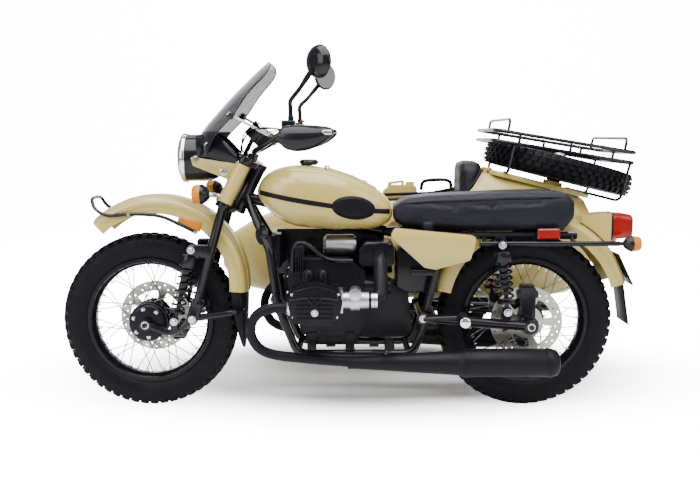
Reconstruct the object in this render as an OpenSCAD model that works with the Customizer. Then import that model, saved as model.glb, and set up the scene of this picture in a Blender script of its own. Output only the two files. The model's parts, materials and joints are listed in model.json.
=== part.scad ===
// Sidecar motorcycle: flat twin with a leading-link fork, a shaft-driven rear
// wheel and a boat-shaped sidecar that carries its spare wheel on the trunk lid.
// Working frame: X forward from the rear axle, Y left from the bike's middle plane,
// Z up from the ground. The model is then moved so that the middle of its base is the origin.

/* [Layout] */
// Distance between the front and rear axles
wheelbase = 1500; // [1470:10:1800]
// Sideways distance from the rear wheel to the sidecar wheel
track = 1130; // [1080:10:1360]
// Distance of the sidecar wheel ahead of the rear axle
wheel_lead = 250; // [200:10:300]
// Lean of the steering axis from upright, in degrees
rake = 27; // [26:0.5:28]
// Distance of the tyre's contact behind the steering axis
trail = 50; // [40:1:60]
// Distance between the middles of the fork legs
fork_gap = 230; // [220:2:280]
// Distance of the fork tubes ahead of the steering axis
fork_offset = 50; // [45:1:55]

/* [Wheels] */
// Outside diameter of a tyre
tyre_d = 700; // [580:2:710]
// Widest part of a tyre
tyre_w = 108; // [90:2:120]
// Diameter on which the tyre's bead sits
rim_seat_d = 482; // [470:1:490]
// Width of a rim over its flanges
rim_w = 80; // [72:1:90]
// Number of spokes in a wheel
spoke_count = 40; // [20:20:40]
// Thickness of a spoke
spoke_d = 4; // [3:0.5:5]
// Diameter of a wheel axle
axle_d = 20; // [16:1:25]
// Diameter of a hub's spoke flanges
hub_flange_d = 152; // [140:2:170]
// Length of a hub along its axle
hub_w = 124; // [116:2:130]
// Diameter of a brake disc
disc_d = 286; // [270:2:300]
// Thickness of a brake disc
disc_t = 5; // [4:0.5:6]

/* [Frame and engine] */
// Diameter of the main frame tubes
frame_tube_d = 34; // [28:1:40]
// Diameter of the fork tubes
fork_tube_d = 42; // [36:1:48]
// Length of the steering head
head_len = 170; // [150:2:180]
// Diameter of the steering stem
stem_d = 34; // [28:1:36]
// Height of the cylinders' axis
cylinder_z = 472; // [465:1:485]
// Distance from the bike's middle plane to the face of a valve cover
cylinder_reach = 395; // [380:1:475]
// Diameter of a cylinder's cooling fins
fin_d = 150; // [130:2:160]
// Diameter of an exhaust header
header_d = 38; // [32:1:42]
// Diameter of a muffler
muffler_d = 116; // [100:2:124]
// Distance of the mufflers from the bike's middle plane
muffler_y = 236; // [232:1:245]

/* [Bodywork] */
// Widest part of the fuel tank
tank_w = 296; // [270:2:350]
// Widest part of the saddle
saddle_w = 280; // [270:2:300]
// Width of a fender
fender_w = 172; // [160:2:176]
// Thickness of sheet metal
sheet = 4; // [3:0.5:5]
// Width of the sidecar's body
tub_w = 550; // [530:5:560]
// Thickness of the sidecar body's walls
tub_wall = 14; // [10:1:18]
// Slope of the trunk lid, in degrees
lid_slope = 14; // [13:0.5:15]
// Thickness of the trunk lid
lid_t = 18; // [14:1:22]
// Diameter of the luggage rack's tubes
rack_tube_d = 14; // [12:1:18]

/* [Fits] */
// Gap between a piece and its seat
seat_gap = 0.3; // [0.2:0.05:0.4]
// Running clearance round an axle, stem or hinge pin
run_gap = 0.05; // [0.03:0.01:0.1]

/* [Hidden] */
$fn = 48;

paint = "#c9b98a";
black = "#1a1a1c";
satin = "#2b2b2d";
rubber = "#141414";
steel = "#c4c7cc";
alloy = "#a9acb0";
vinyl = "#23252b";
amber = "#ee8a1e";
red = "#b3201c";
smoke = "#3c4046";

axle_z = tyre_d / 2;
front_axle = [wheelbase, 0, axle_z];
sidecar_axle = [wheel_lead, -track, axle_z];
UP = [0, 0, 1];

// wheel sections
rim_seat_r = rim_seat_d / 2;
rim_wall = 4;
rim_flange_r = rim_seat_r + 10;
rim_well_r = rim_seat_r - 14;
rim_in_r = rim_well_r - rim_wall;
bead_half = rim_w / 2 - rim_wall - seat_gap;
hub_half = hub_w / 2;
hub_flange_r = hub_flange_d / 2;
hub_core_r = 40;
hub_end_r = 30;
flange_t = 9;
flange_at = 36;
bore_r = axle_d / 2 + run_gap;
disc_at = hub_half + seat_gap;
// columns: share of the height from rim flange to crown, share of half the tyre's width
TYRE_SIDE = [[0.12, 0.80], [0.42, 1.00], [0.68, 0.98], [0.87, 0.88], [0.97, 0.58], [1.00, 0.22]];

// steering head, on the steering axis, its middle a set height above the axles
rise = [-sin(rake), 0, cos(rake)];
ahead = [cos(rake), 0, sin(rake)];
head_above = 530;
head_mid = [wheelbase + trail - (axle_z + head_above) * tan(rake), 0, axle_z + head_above];
clamp_t = 20;
clamp_at = head_len / 2 + seat_gap;
fork_half = fork_gap / 2;
// point in the steering frame: s ahead of the axis, y to the left, t up along the axis
function on_head(s, y, t) = head_mid + s * ahead + t * rise + [0, y, 0];

// leading link: pivot on the leg, low point, and the loop behind the tyre
link_pivot = front_axle + [-186, 0, 24];
link_low = front_axle + [-100, 0, -40];
link_loop_x = wheelbase - axle_z - 18;
link_tube_d = 28;
link_boss_d = 44;
link_boss_half = 20;
pivot_pin_d = 14;
shock_top = front_axle + [-186, 0, 296];
shock_low = front_axle + [-114, 0, 14];
shock_eye_half = 12;
shock_pin_d = 12;

// fenders: one pressing, three places; columns name, centre, radius of the crown, first and last angle
front_fender_mid = front_axle + [-37, 0, 144];
front_fender_r = 362;
rear_fender_mid = [-15, 0, axle_z + 50];
rear_fender_r = 398;
sidecar_fender_mid = sidecar_axle + [0, 0, 40];
sidecar_fender_r = 400;
fender_skirt = 72;
// fall of a fender's crown from its middle to the edge of a mud flap
fender_fall = 7.4;

// frame
tube_r = frame_tube_d / 2;
cradle_y = 112;
cradle_z = 232;
swing_pivot = [418, 0, 384];
rail_y = 116;
seat_base_z = 716;
rail_d = 30;
rail_z = seat_base_z - seat_gap - rail_d / 2;
rear_shock_y = 176;
rear_shock_top = [121, rear_shock_y, 673];
rear_shock_low = [96, rear_shock_y, 412];
spine_front = head_mid + [-2, 0, -42];
spine_back = [560, 0, 704];

// engine
crank_x = 827;
engine_half = 150;
cylinder_from = engine_half + seat_gap;
head_from = 292;
cover_from = 334;
fin_count = 9;

// sidecar
tub_y = -680;
tub_half = tub_w / 2;
lid_hinge = [84, tub_y, 935];
lid_len = 486;
lid_half = 250;
lid_pin_d = 8;
hinge_ledge = 24;
hinge_y = 150;
knuckle_half = 25;
ear_w = 6;
spare_along = 355;
spare_above = lid_t + 12;

// extents that set the origin
spare_mid = lid_hinge + spare_along * [-cos(lid_slope), 0, -sin(lid_slope)]
    + (spare_above + tyre_w / 2) * [-sin(lid_slope), 0, cos(lid_slope)];
function tyre_outline() = let(h = tyre_d / 2 - rim_flange_r, half = [
        [rim_seat_r + seat_gap, bead_half], [rim_flange_r + seat_gap, bead_half],
        for (p = TYRE_SIDE) [rim_flange_r + p[0] * h, p[1] * tyre_w / 2]])
    concat(half, [for (i = [len(half) - 1:-1:0]) [half[i][0], -half[i][1]]]);
back_x = spare_mid.x - max([for (p = tyre_outline()) p[0] * cos(lid_slope) + p[1] * sin(lid_slope)]);
front_x = wheelbase + tyre_d / 2;
guard_y = 452;
left_y = guard_y;
sidecar_nut = 88;
right_y = -track - sidecar_nut;
middle = [(back_x + front_x) / 2, (left_y + right_y) / 2, 0];

function unit(v) = v / norm(v);
function mirror_y(p) = [p.x, -p.y, p.z];
function side_of(p) = [p.x, p.z];
function mix(a, b, t) = a + (b - a) * t;

// closed ring of a rounded rectangle-like section across X; power 2 is an ellipse, more is squarer
function ring(x, y, z_low, z_high, half, power, n = 24) = let(mid = (z_low + z_high) / 2, h = (z_high - z_low) / 2)
    [for (i = [0:n - 1]) let(a = 360 * i / n, c = cos(a), s = sin(a))
        [x, y + half * sign(c) * pow(abs(c), 2 / power), mid + h * sign(s) * pow(abs(s), 2 / power)]];

// outline with its corners rounded by arcs of one radius
function rounded(pts, r, steps = 5) = let(n = len(pts)) [for (i = [0:n - 1])
    let(p = pts[i], a = unit(pts[(i + n - 1) % n] - p), b = unit(pts[(i + 1) % n] - p),
        half = acos(max(-1, min(1, a * b))) / 2, cut = r / tan(half), mid = p + unit(a + b) * r / sin(half),
        u = unit(p + a * cut - mid), v = unit(p + b * cut - mid), turn = 180 - 2 * half)
    for (k = [0:steps]) let(t = k / steps) mid + r * unit(sin((1 - t) * turn) * u + sin(t * turn) * v)];

module placed() translate([0, 0, 0] - middle) children();
module both_sides() {
    children();
    mirror([0, 1, 0]) children();
}
module steer() translate(head_mid) rotate([0, -rake, 0]) children();
module across(p) translate(p) rotate([-90, 0, 0]) children();
module along_x(p) translate(p) rotate([0, 90, 0]) children();
module rod(a, b, d) {
    v = b - a;
    translate(a) rotate([0, acos(v.z / norm(v)), atan2(v.y, v.x)]) cylinder(d = d, h = norm(v));
}
// middle line of a bar through the points, bent to one radius at each inner point
function bend_line(pts, bend, steps) = let(last = len(pts) - 1) [pts[0], for (i = [1:last - 1])
    let(a = unit(pts[i] - pts[i - 1]), b = unit(pts[i + 1] - pts[i]), turn = acos(a * b),
        start = pts[i] - bend * tan(turn / 2) * a, n = unit(b - (b * a) * a))
    for (k = [0:steps]) let(t = turn * k / steps) start + bend * (sin(t) * a + (1 - cos(t)) * n), pts[last]];
// round bar along those points, with flat ends
module bent_bar(pts, d, bend, sides = 8, steps = 4) {
    line = bend_line(pts, bend, steps);
    n = len(line);
    way = [for (i = [0:n - 1]) unit(line[min(i + 1, n - 1)] - line[max(i - 1, 0)])];
    first = unit(cross(way[0], abs(way[0].z) < 0.9 ? UP : [1, 0, 0]));
    normals = [for (i = 0, u = first; i < n; i = i + 1, u = i < n ? unit(u - (u * way[i]) * way[i]) : u) u];
    skin([for (i = [0:n - 1]) let(u = normals[i], v = cross(way[i], u))
        [for (j = [0:sides - 1]) let(b = 360 * j / sides) line[i] + d / 2 * (cos(b) * u + sin(b) * v)]]);
}
// flat hoop through the corners, at one height, each corner bent to one radius
module hoop(corners, z, d, bend, sides = 8, steps = 4) {
    line = rounded(corners, bend, steps);
    n = len(line);
    skin([for (i = [0:n - 1]) let(t = unit(line[(i + 1) % n] - line[(i + n - 1) % n]))
        [for (j = [0:sides - 1]) let(b = 360 * j / sides)
            [line[i].x - d / 2 * cos(b) * t.y, line[i].y + d / 2 * cos(b) * t.x, z + d / 2 * sin(b)]]], true);
}
// skin over rings that follow each other, capped at both ends or closed on itself
module skin(rings, closed = false) {
    n = len(rings[0]);
    m = len(rings);
    polyhedron([for (r = rings) each r], concat(
        closed ? [] : [[for (j = [0:n - 1]) j]],
        [for (i = [0:m - (closed ? 1 : 2)], j = [0:n - 1]) let(k = (j + 1) % n, a = i * n, b = (i + 1) % m * n)
            each [[a + j, b + j, b + k], [a + j, b + k, a + k]]],
        closed ? [] : [[for (j = [n - 1:-1:0]) (m - 1) * n + j]]));
}
// coil spring along Z from 0 to h
module coil(h, r, wire_r, turns, sides = 6, steps = 9) {
    count = turns * steps;
    skin([for (i = [0:count]) let(a = 360 * i / steps, z = wire_r + (h - 2 * wire_r) * i / count)
        [for (j = [0:sides - 1]) let(b = 360 * j / sides, q = r + wire_r * sin(b))
            [q * cos(a), q * sin(a), z + wire_r * cos(b)]]]);
}
// damper and coil from one eye to the other; the can hides the coil's upper part
module shock(top, low, coil_r, can_share) {
    v = low - top;
    len_all = norm(v);
    eye_r = 15;
    shaft_r = 9;
    cup_r = coil_r + 2;
    seat_low = len_all - 46;
    can_len = can_share * len_all;
    translate(top) rotate([0, acos(v.z / len_all), atan2(v.y, v.x)]) {
        difference() {
            union() {
                rotate_extrude() polygon([[0, 6], [shaft_r, 6], [shaft_r, 22], [cup_r, 26], [cup_r, can_len], [17, can_len],
                    [17, mix(can_len, seat_low, 0.6)], [shaft_r, mix(can_len, seat_low, 0.6)], [shaft_r, seat_low],
                    [cup_r, seat_low], [cup_r, seat_low + 10], [shaft_r, seat_low + 14], [shaft_r, len_all - 6], [0, len_all - 6]]);
                for (z = [0, len_all]) translate([0, shock_eye_half, z]) rotate([90, 0, 0])
                    cylinder(r = eye_r, h = 2 * shock_eye_half);
            }
            for (z = [0, len_all]) translate([0, shock_eye_half + 1, z]) rotate([90, 0, 0])
                cylinder(d = shock_pin_d + 2 * seat_gap, h = 2 * shock_eye_half + 2);
        }
        translate([0, 0, can_len + seat_gap]) coil(seat_low - can_len - 2 * seat_gap, coil_r - 5, 4.5, 6);
    }
}

// wheels
module tyre() rotate_extrude($fn = 96) polygon(tyre_outline());
module rim() {
    half = [[rim_well_r, 12], [rim_seat_r - 3, 24], [rim_seat_r, rim_w / 2 - rim_wall],
        [rim_flange_r, rim_w / 2 - rim_wall], [rim_flange_r, rim_w / 2], [rim_seat_r - rim_wall, rim_w / 2],
        [rim_seat_r - 3 - rim_wall, 25], [rim_in_r, 13]];
    flip = [for (p = half) [p[0], -p[1]]];
    rotate_extrude($fn = 96) polygon(concat(half, [for (i = [7:-1:0]) flip[i]]));
}
module hub() {
    half = [[bore_r, hub_half], [hub_end_r, hub_half], [hub_end_r + 8, flange_at + flange_t + 4],
        [hub_flange_r - 8, flange_at + flange_t], [hub_flange_r, flange_at + flange_t - 3],
        [hub_flange_r, flange_at], [hub_core_r, flange_at - 10]];
    rotate_extrude() polygon(concat(half, [for (i = [len(half) - 1:-1:0]) [half[i][0], -half[i][1]]]));
}
// spokes leave both flanges in leading and trailing pairs and cross on their way to the rim
module spokes() {
    per_side = spoke_count / 2;
    step = 360 / per_side;
    cross_turn = 3 * step;
    from_r = hub_flange_r - 7;
    to_r = rim_in_r - seat_gap - 0.18 * spoke_d;
    for (side = [-1, 1], i = [0:per_side - 1]) {
        lead = i % 2 == 0 ? 1 : -1;
        a = step * (i + (side > 0 ? 0 : 0.5));
        b = a + lead * cross_turn;
        w0 = side * (flange_at + flange_t / 2 + lead * 2);
        w1 = side * 8 + lead * side * 3;
        rod([from_r * cos(a), from_r * sin(a), w0], [to_r * cos(b), to_r * sin(b), w1], spoke_d);
    }
}
module laced_hub() {
    difference() {
        union() {
            hub();
            spokes();
        }
        translate([0, 0, -hub_w]) cylinder(r = bore_r, h = 2 * hub_w);
    }
}
// drilled ring on five arms: a plate with windows between the arms
module brake_disc() {
    carrier_r = 66;
    ring_in = disc_d / 2 - 40;
    arms = 5;
    window = 52;
    rows = [[disc_d / 2 - 12, 20, 0], [disc_d / 2 - 26, 20, 9]];
    linear_extrude(disc_t) difference() {
        circle(d = disc_d, $fn = 96);
        circle(r = axle_d / 2 + 4);
        for (i = [0:arms - 1]) rotate(i * 360 / arms) polygon(concat(
            [for (k = [0:6]) let(a = window * (k / 6 - 0.5)) ring_in * [cos(a), sin(a)]],
            [for (k = [6:-1:0]) let(a = window * (k / 6 - 0.5)) carrier_r * [cos(a), sin(a)]]));
        for (row = rows, i = [0:row[1] - 1]) rotate(i * 360 / row[1] + row[2]) translate([row[0], 0]) circle(d = 7, $fn = 24);
    }
}
module caliper() {
    reach = 52;
    pad = 18;
    slot = disc_t + 6;
    difference() {
        translate([disc_d / 2 - reach + 8, -42, -pad]) cube([reach, 84, 2 * pad + disc_t]);
        translate([0, 0, -3]) cylinder(d = disc_d + 8, h = slot, $fn = 96);
        for (s = [-1, 1]) translate([disc_d / 2 + 8, s * 60, -pad - 1]) cylinder(r = 34, h = 2 * pad + disc_t + 2);
    }
}

module front_tyre() color(rubber) across(front_axle) tyre();
module front_wheel_rim() color(black) across(front_axle) rim();
module front_hub() color(steel) across(front_axle) laced_hub();
module front_disc() color(steel) across(front_axle) mirror([0, 0, 1]) translate([0, 0, disc_at]) brake_disc();
module rear_tyre() color(rubber) across([0, 0, axle_z]) tyre();
module rear_wheel_rim() color(black) across([0, 0, axle_z]) rim();
module rear_hub() color(steel) across([0, 0, axle_z]) laced_hub();
module rear_disc() color(steel) across([0, 0, axle_z]) translate([0, 0, disc_at]) brake_disc();
module sidecar_tyre() color(rubber) across(sidecar_axle) tyre();
module sidecar_wheel_rim() color(black) across(sidecar_axle) rim();
module sidecar_hub() color(steel) across(sidecar_axle) laced_hub();

// fork and what turns with it
module clamp_plate(t) translate([0, 0, t]) linear_extrude(clamp_t) {
    circle(d = stem_d + 26);
    translate([0, -fork_half]) square([fork_offset, fork_gap]);
    translate([gauge_s, 0]) circle(d = 50);
    for (s = [-1, 1]) translate([fork_offset, s * fork_half]) circle(d = fork_tube_d + 18);
}
leg_top = on_head(fork_offset, fork_half, -clamp_at - clamp_t / 2);
leg_d = 36;
clevis_t = 7;
clevis_in = link_boss_half + seat_gap;
leg_dir = unit(leg_top - link_pivot - [0, fork_half, 0]);
module fork_leg() {
    foot = link_pivot + [0, fork_half, 0];
    tilt = 90 - atan2(leg_dir.z, leg_dir.x);
    rod(leg_top, foot + 52 * leg_dir, leg_d);
    translate(foot) rotate([0, tilt, 0]) {
        for (y = [clevis_in, -clevis_in - clevis_t]) translate([0, y, 0]) rotate([-90, 0, 0]) linear_extrude(clevis_t) {
            circle(d = link_boss_d);
            translate([-link_boss_d / 2, -66]) square([link_boss_d, 66]);
        }
        translate([-18, -clevis_in, 34]) cube([36, 2 * clevis_in, 30]);
    }
    across(foot - [0, clevis_in + clevis_t + 6, 0]) cylinder(d = pivot_pin_d, h = 2 * (clevis_in + clevis_t + 6));
    // ear that carries the top of the shock
    ear_at = foot + leg_dir * (shock_top - link_pivot) * leg_dir;
    ear_t = 8;
    for (y = [shock_eye_half + seat_gap, -shock_eye_half - seat_gap - ear_t])
        translate([0, fork_half + y, 0]) rotate([90, 0, 0]) mirror([0, 0, 1]) linear_extrude(ear_t)
            polygon(rounded([[ear_at.x - 12, ear_at.z + 34], [shock_top.x + 16, shock_top.z + 16],
                [shock_top.x + 16, shock_top.z - 16], [ear_at.x - 2, ear_at.z - 16]], 8));
    across(shock_top + [0, fork_half - shock_eye_half - 14, 0]) cylinder(d = shock_pin_d, h = 2 * shock_eye_half + 28);
}
module front_fork() color(black) {
    steer() {
        translate([0, 0, -clamp_at - clamp_t]) cylinder(d = stem_d, h = 2 * (clamp_at + clamp_t));
        clamp_plate(clamp_at);
        clamp_plate(-clamp_at - clamp_t);
        for (s = [-1, 1]) translate([fork_offset, s * fork_half, -clamp_at - clamp_t])
            cylinder(d = fork_tube_d, h = 2 * (clamp_at + clamp_t) + 8);
        for (s = [-1, 1]) translate([riser_s, s * riser_y, clamp_at + clamp_t]) cylinder(d = 30, h = bar_above);
    }
    both_sides() fork_leg();
}

module leading_arm() color(black) {
    axle_boss_d = 48;
    boss_w = 34;
    arm_left = [[wheelbase, fork_half, axle_z], link_low + [0, fork_half, 0], link_pivot + [0, fork_half, 0],
        [link_loop_x, fork_half, link_pivot.z + 26]];
    arm_right = [for (i = [3:-1:0]) mirror_y(arm_left[i])];
    difference() {
        union() {
            bent_bar(concat(arm_left, arm_right), link_tube_d, 62);
            for (s = [-1, 1]) {
                across(link_pivot + [0, s * fork_half - link_boss_half, 0]) cylinder(d = link_boss_d, h = 2 * link_boss_half);
                across(front_axle + [0, s * fork_half - boss_w / 2, 0]) cylinder(d = axle_boss_d, h = boss_w);
                for (t = [-1, 1]) across(shock_low + [0, s * fork_half + t * (shock_eye_half + seat_gap + 4) - 4, 0])
                    linear_extrude(8) {
                        circle(r = 14);
                        translate([-14, 0]) square([28, 34]);
                    }
            }
        }
        for (s = [-1, 1]) across(link_pivot + [0, s * fork_half - 40, 0])
            cylinder(d = pivot_pin_d + 2 * seat_gap, h = 80);
    }
    // axle, spacers and the pins under the shocks
    across(front_axle - [0, fork_half + 30, 0]) cylinder(d = axle_d, h = fork_gap + 60);
    for (s = [-1, 1]) {
        inner = s > 0 ? hub_half + seat_gap : hub_half + disc_t + 3 * seat_gap;
        across(front_axle + [0, s > 0 ? inner : -fork_half + boss_w / 2 - 1, 0])
            cylinder(d = axle_d + 8, h = fork_half - boss_w / 2 + 1 - inner);
        across(shock_low + [0, s * fork_half - shock_eye_half - 12, 0]) cylinder(d = shock_pin_d, h = 2 * shock_eye_half + 24);
    }
}
module front_shocks() color(black) both_sides()
    shock(shock_top + [0, fork_half, 0], shock_low + [0, fork_half, 0], 31, 0.24);

// open channel section of a fender: crown, rolled shoulder, straight skirt
function fender_section(r, half, skirt, t) = let(roll = 26, out = [
        for (i = [0:6]) [r - 10 * pow(i / 6, 2), (half - roll) * i / 6],
        for (a = [75:-15:15]) [r - 10 - roll + roll * sin(a), half - roll + roll * cos(a)],
        [r - skirt, half]],
    inn = [for (p = out) [p[0] - (p[1] < half - roll / 2 ? t : 0), max(0, p[1] - (p[1] < half - roll / 2 ? 0 : t))]])
    concat([for (i = [len(out) - 1:-1:1]) [out[i][0], -out[i][1]]], out,
        [for (i = [len(inn) - 1:-1:1]) inn[i]], [for (p = inn) [p[0], -p[1]]]);
module fender_arc(mid, r, from, to, skirt = fender_skirt, half = fender_w / 2) across(mid) mirror([0, 1, 0])
    rotate(from) rotate_extrude(angle = to - from, $fn = 120) polygon(fender_section(r, half, skirt, sheet));
front_fender_from = 46;
front_fender_to = 184;
module front_fender() color(paint) {
    fender_arc(front_fender_mid, front_fender_r, front_fender_from, front_fender_to);
    // bosses that bolt to the fork legs
    for (s = [-1, 1]) {
        at = mix(link_pivot, leg_top, 0.75);
        inner = fender_w / 2 - 2;
        outer = fork_half - leg_d / 2 - seat_gap;
        across([at.x, s > 0 ? inner : -outer, at.z]) cylinder(d = 26, h = outer - inner);
    }
}
flap_t = 4;
flap_half = 50;
module front_mud_flap() color(rubber) {
    at = front_fender_mid - [front_fender_r - sheet - fender_fall - seat_gap, 0, 0];
    translate(at + [0, -flap_half, -204]) cube([flap_t, 2 * flap_half, 220]);
}
bumper_d = 14;
module bumper_bar() color(black) {
    y = fender_w / 2 + bumper_d / 2 + seat_gap;
    nose = front_fender_mid + front_fender_r * [cos(46), 0, sin(46)];
    side = [[-420, y, -48], [-270, y, 24], [-60, y, 20], [-4, y - 20, 84]];
    left = [for (p = side) nose + p];
    bent_bar(concat(left, [for (i = [3:-1:0]) mirror_y(left[i])]), bumper_d, 22);
}

lamp_mid = head_mid + [148, 0, 117];
lamp_r = 92;
lamp_len = 92;
module headlight() color(black) {
    along_x(lamp_mid) rotate_extrude($fn = 72) polygon([[0, -56], [46, -52], [74, -36], [lamp_r - 6, -12],
        [lamp_r, 20], [lamp_r, lamp_len], [lamp_r + 5, lamp_len + 2], [lamp_r + 4, lamp_len + 16],
        [lamp_r - 8, lamp_len + 22], [60, lamp_len + 32], [30, lamp_len + 38], [0, lamp_len + 40]]);
    for (s = [-1, 1]) across(lamp_mid + [44, s * (lamp_r + 8) - 10, 0]) cylinder(d = 12, h = 20);
}
ear_in = lamp_r + seat_gap;
shroud_r = fork_tube_d / 2 + seat_gap + 7;
module fork_cowl() color(paint) {
    shroud_in = shroud_r - 7;
    // Each ear is a plate beside the lamp, thick enough to run into its shroud however wide the fork is.
    ear_reach = max(6, fork_half - shroud_in - ear_in);
    gap = 4;
    difference() {
        union() {
            steer() for (s = [-1, 1]) translate([fork_offset, s * fork_half, -clamp_at + gap])
                cylinder(r = shroud_r, h = 2 * (clamp_at - gap));
            for (s = [-1, 1]) translate([0, s * (ear_in + ear_reach / 2), 0]) rotate([90, 0, 0]) linear_extrude(ear_reach, center = true)
                polygon(rounded([[lamp_mid.x + 66, lamp_mid.z + 8], side_of(on_head(44, 0, 79)), side_of(on_head(36, 0, -79)),
                    side_of(on_head(74, 0, -79)), side_of(on_head(80, 0, 0)), [lamp_mid.x + 56, lamp_mid.z - 28]], 7));
        }
        steer() for (s = [-1, 1]) translate([fork_offset, s * fork_half, -200]) cylinder(r = shroud_in, h = 400);
        for (s = [-1, 1]) across(lamp_mid + [44, s * ear_in - 20, 0]) cylinder(d = 12 + 2 * seat_gap, h = 40);
    }
}

// screen: columns are distance ahead of the head, height above it, half width, sweep of its sides
SCREEN = [[196, 128, 150, 48], [184, 208, 186, 80], [128, 280, 202, 92], [48, 365, 196, 72],
    [-26, 438, 165, 62], [-60, 470, 118, 40], [-78, 486, 50, 12]];
screen_t = 4;
function screen_x(u, r) = head_mid.x + r[0] - r[3] * pow(abs(u), 2.2);
function screen_z(u, r) = head_mid.z + r[1];
module windshield() color(smoke) {
    cols = 12;
    rings = [for (r = SCREEN) concat(
        [for (i = [0:cols]) let(u = 1 - 2 * i / cols) [screen_x(u, r), r[2] * u, screen_z(u, r)]],
        [for (i = [cols:-1:0]) let(u = 1 - 2 * i / cols) [screen_x(u, r) - screen_t, r[2] * u, screen_z(u, r) - screen_t]])];
    difference() {
        sheet_skin(rings);
        along_x(lamp_mid) cylinder(r = lamp_r + seat_gap, h = 200, $fn = 72);
    }
}
module sheet_skin(rings) {
    n = len(rings[0]);
    m = len(rings);
    h = n / 2;
    polyhedron([for (r = rings) each r], concat(
        [for (j = [0:h - 2]) each [[j, j + 1, n - 2 - j], [j, n - 2 - j, n - 1 - j]]],
        [for (i = [0:m - 2], j = [0:n - 1]) let(k = (j + 1) % n, a = i * n, b = a + n)
            each [[a + j, b + j, b + k], [a + j, b + k, a + k]]],
        [for (j = [0:h - 2]) let(e = (m - 1) * n) each [[e + j, e + n - 2 - j, e + j + 1], [e + j, e + n - 1 - j, e + n - 2 - j]]]));
}

riser_s = 38;
gauge_s = 72;
riser_y = 46;
bar_above = 24;
bar_d = 22;
bar_mid = on_head(riser_s, 0, clamp_at + clamp_t + bar_above + seat_gap + bar_d / 2);
bar_side = [bar_mid + [0, 95, 0], bar_mid + [-128, 236, 76], bar_mid + [-226, 428, 66]];
grip_way = unit(bar_side[2] - bar_side[1]);
module handlebar() color(black) {
    left = [for (i = [2:-1:0]) bar_side[i]];
    bent_bar(concat(left, [for (p = bar_side) mirror_y(p)]), bar_d, 46);
    both_sides() {
        rod(bar_side[2] - 118 * grip_way, bar_side[2] - 2 * grip_way, 34);
        rod(bar_side[2] - 168 * grip_way, bar_side[2] - 130 * grip_way, 44);
        rod(bar_side[2] - 150 * grip_way + [18, 0, 0], bar_side[2] - 20 * grip_way + [62, 8, -6], 12);
    }
}
module hand_guards() color(black) both_sides() {
    tip = bar_side[2];
    shell = 5;
    intersection() {
        translate([0, 0, tip.z - 60]) linear_extrude(120) difference() {
            translate([tip.x + 6, tip.y - 96]) circle(r = guard_y - tip.y + 96, $fn = 96);
            translate([tip.x + 6, tip.y - 96]) circle(r = guard_y - tip.y + 96 - shell, $fn = 96);
        }
        translate([0, guard_y + 20, 0]) rotate([90, 0, 0]) linear_extrude(guard_y - tip.y + 110)
            polygon(rounded([[tip.x - 88, tip.z - 4], [tip.x - 76, tip.z + 16], [tip.x - 20, tip.z + 38], [tip.x + 92, tip.z + 40],
                [tip.x + 108, tip.z + 4], [tip.x + 88, tip.z - 44], [tip.x + 40, tip.z - 52], [tip.x - 24, tip.z - 34]], 10));
    }
    rod(tip + seat_gap * grip_way, tip + 22 * grip_way, 16);
}
mirror_d = 118;
module mirrors() color(black) both_sides() {
    base = bar_side[2] - 149 * grip_way + [0, 0, 22.6];
    head_at = [bar_side[2].x - 30, 392, bar_mid.z + 318];
    bent_bar([base, base + [2, 0, 84], head_at + [16, 6, -30]], 10, 24);
    translate(head_at) rotate([0, 0, 137]) rotate([90, 0, 0])
        rotate_extrude() polygon([[0, -16], [mirror_d / 2 - 3, -16], [mirror_d / 2, -12], [mirror_d / 2 - 4, -2],
            [mirror_d / 2 - 18, 10], [22, 16], [0, 17]]);
}
module speedometer() color(black) {
    mid = on_head(gauge_s, 0, clamp_at + clamp_t + 70);
    translate(mid) rotate([0, -48, 0]) {
        cylinder(d = 88, h = 46);
        translate([0, 0, 46]) cylinder(d = 94, h = 12);
    }
    steer() translate([gauge_s, 0, clamp_at + clamp_t + seat_gap]) cylinder(d = 18, h = 84);
}
module front_indicators() color(amber) both_sides() {
    mid = head_mid + [162, 168, -16];
    root = on_head(fork_offset, fork_half, -60);
    way = unit(mid - root);
    along_x(mid - [26, 0, 0]) cylinder(d = 76, h = 26);
    along_x(mid) cylinder(d1 = 72, d2 = 60, h = 36);
    rod(root + (shroud_r + 3.4) * way, mid, 14);
}
module front_caliper() color(black) {
    across(front_axle) mirror([0, 0, 1]) translate([0, 0, disc_at]) rotate(150) caliper();
    outer = fork_half - link_tube_d / 2 + 0.9;
    across(link_low + [0, -outer, -6]) cylinder(d = 24, h = outer - disc_at - disc_t - 10);
}

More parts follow.
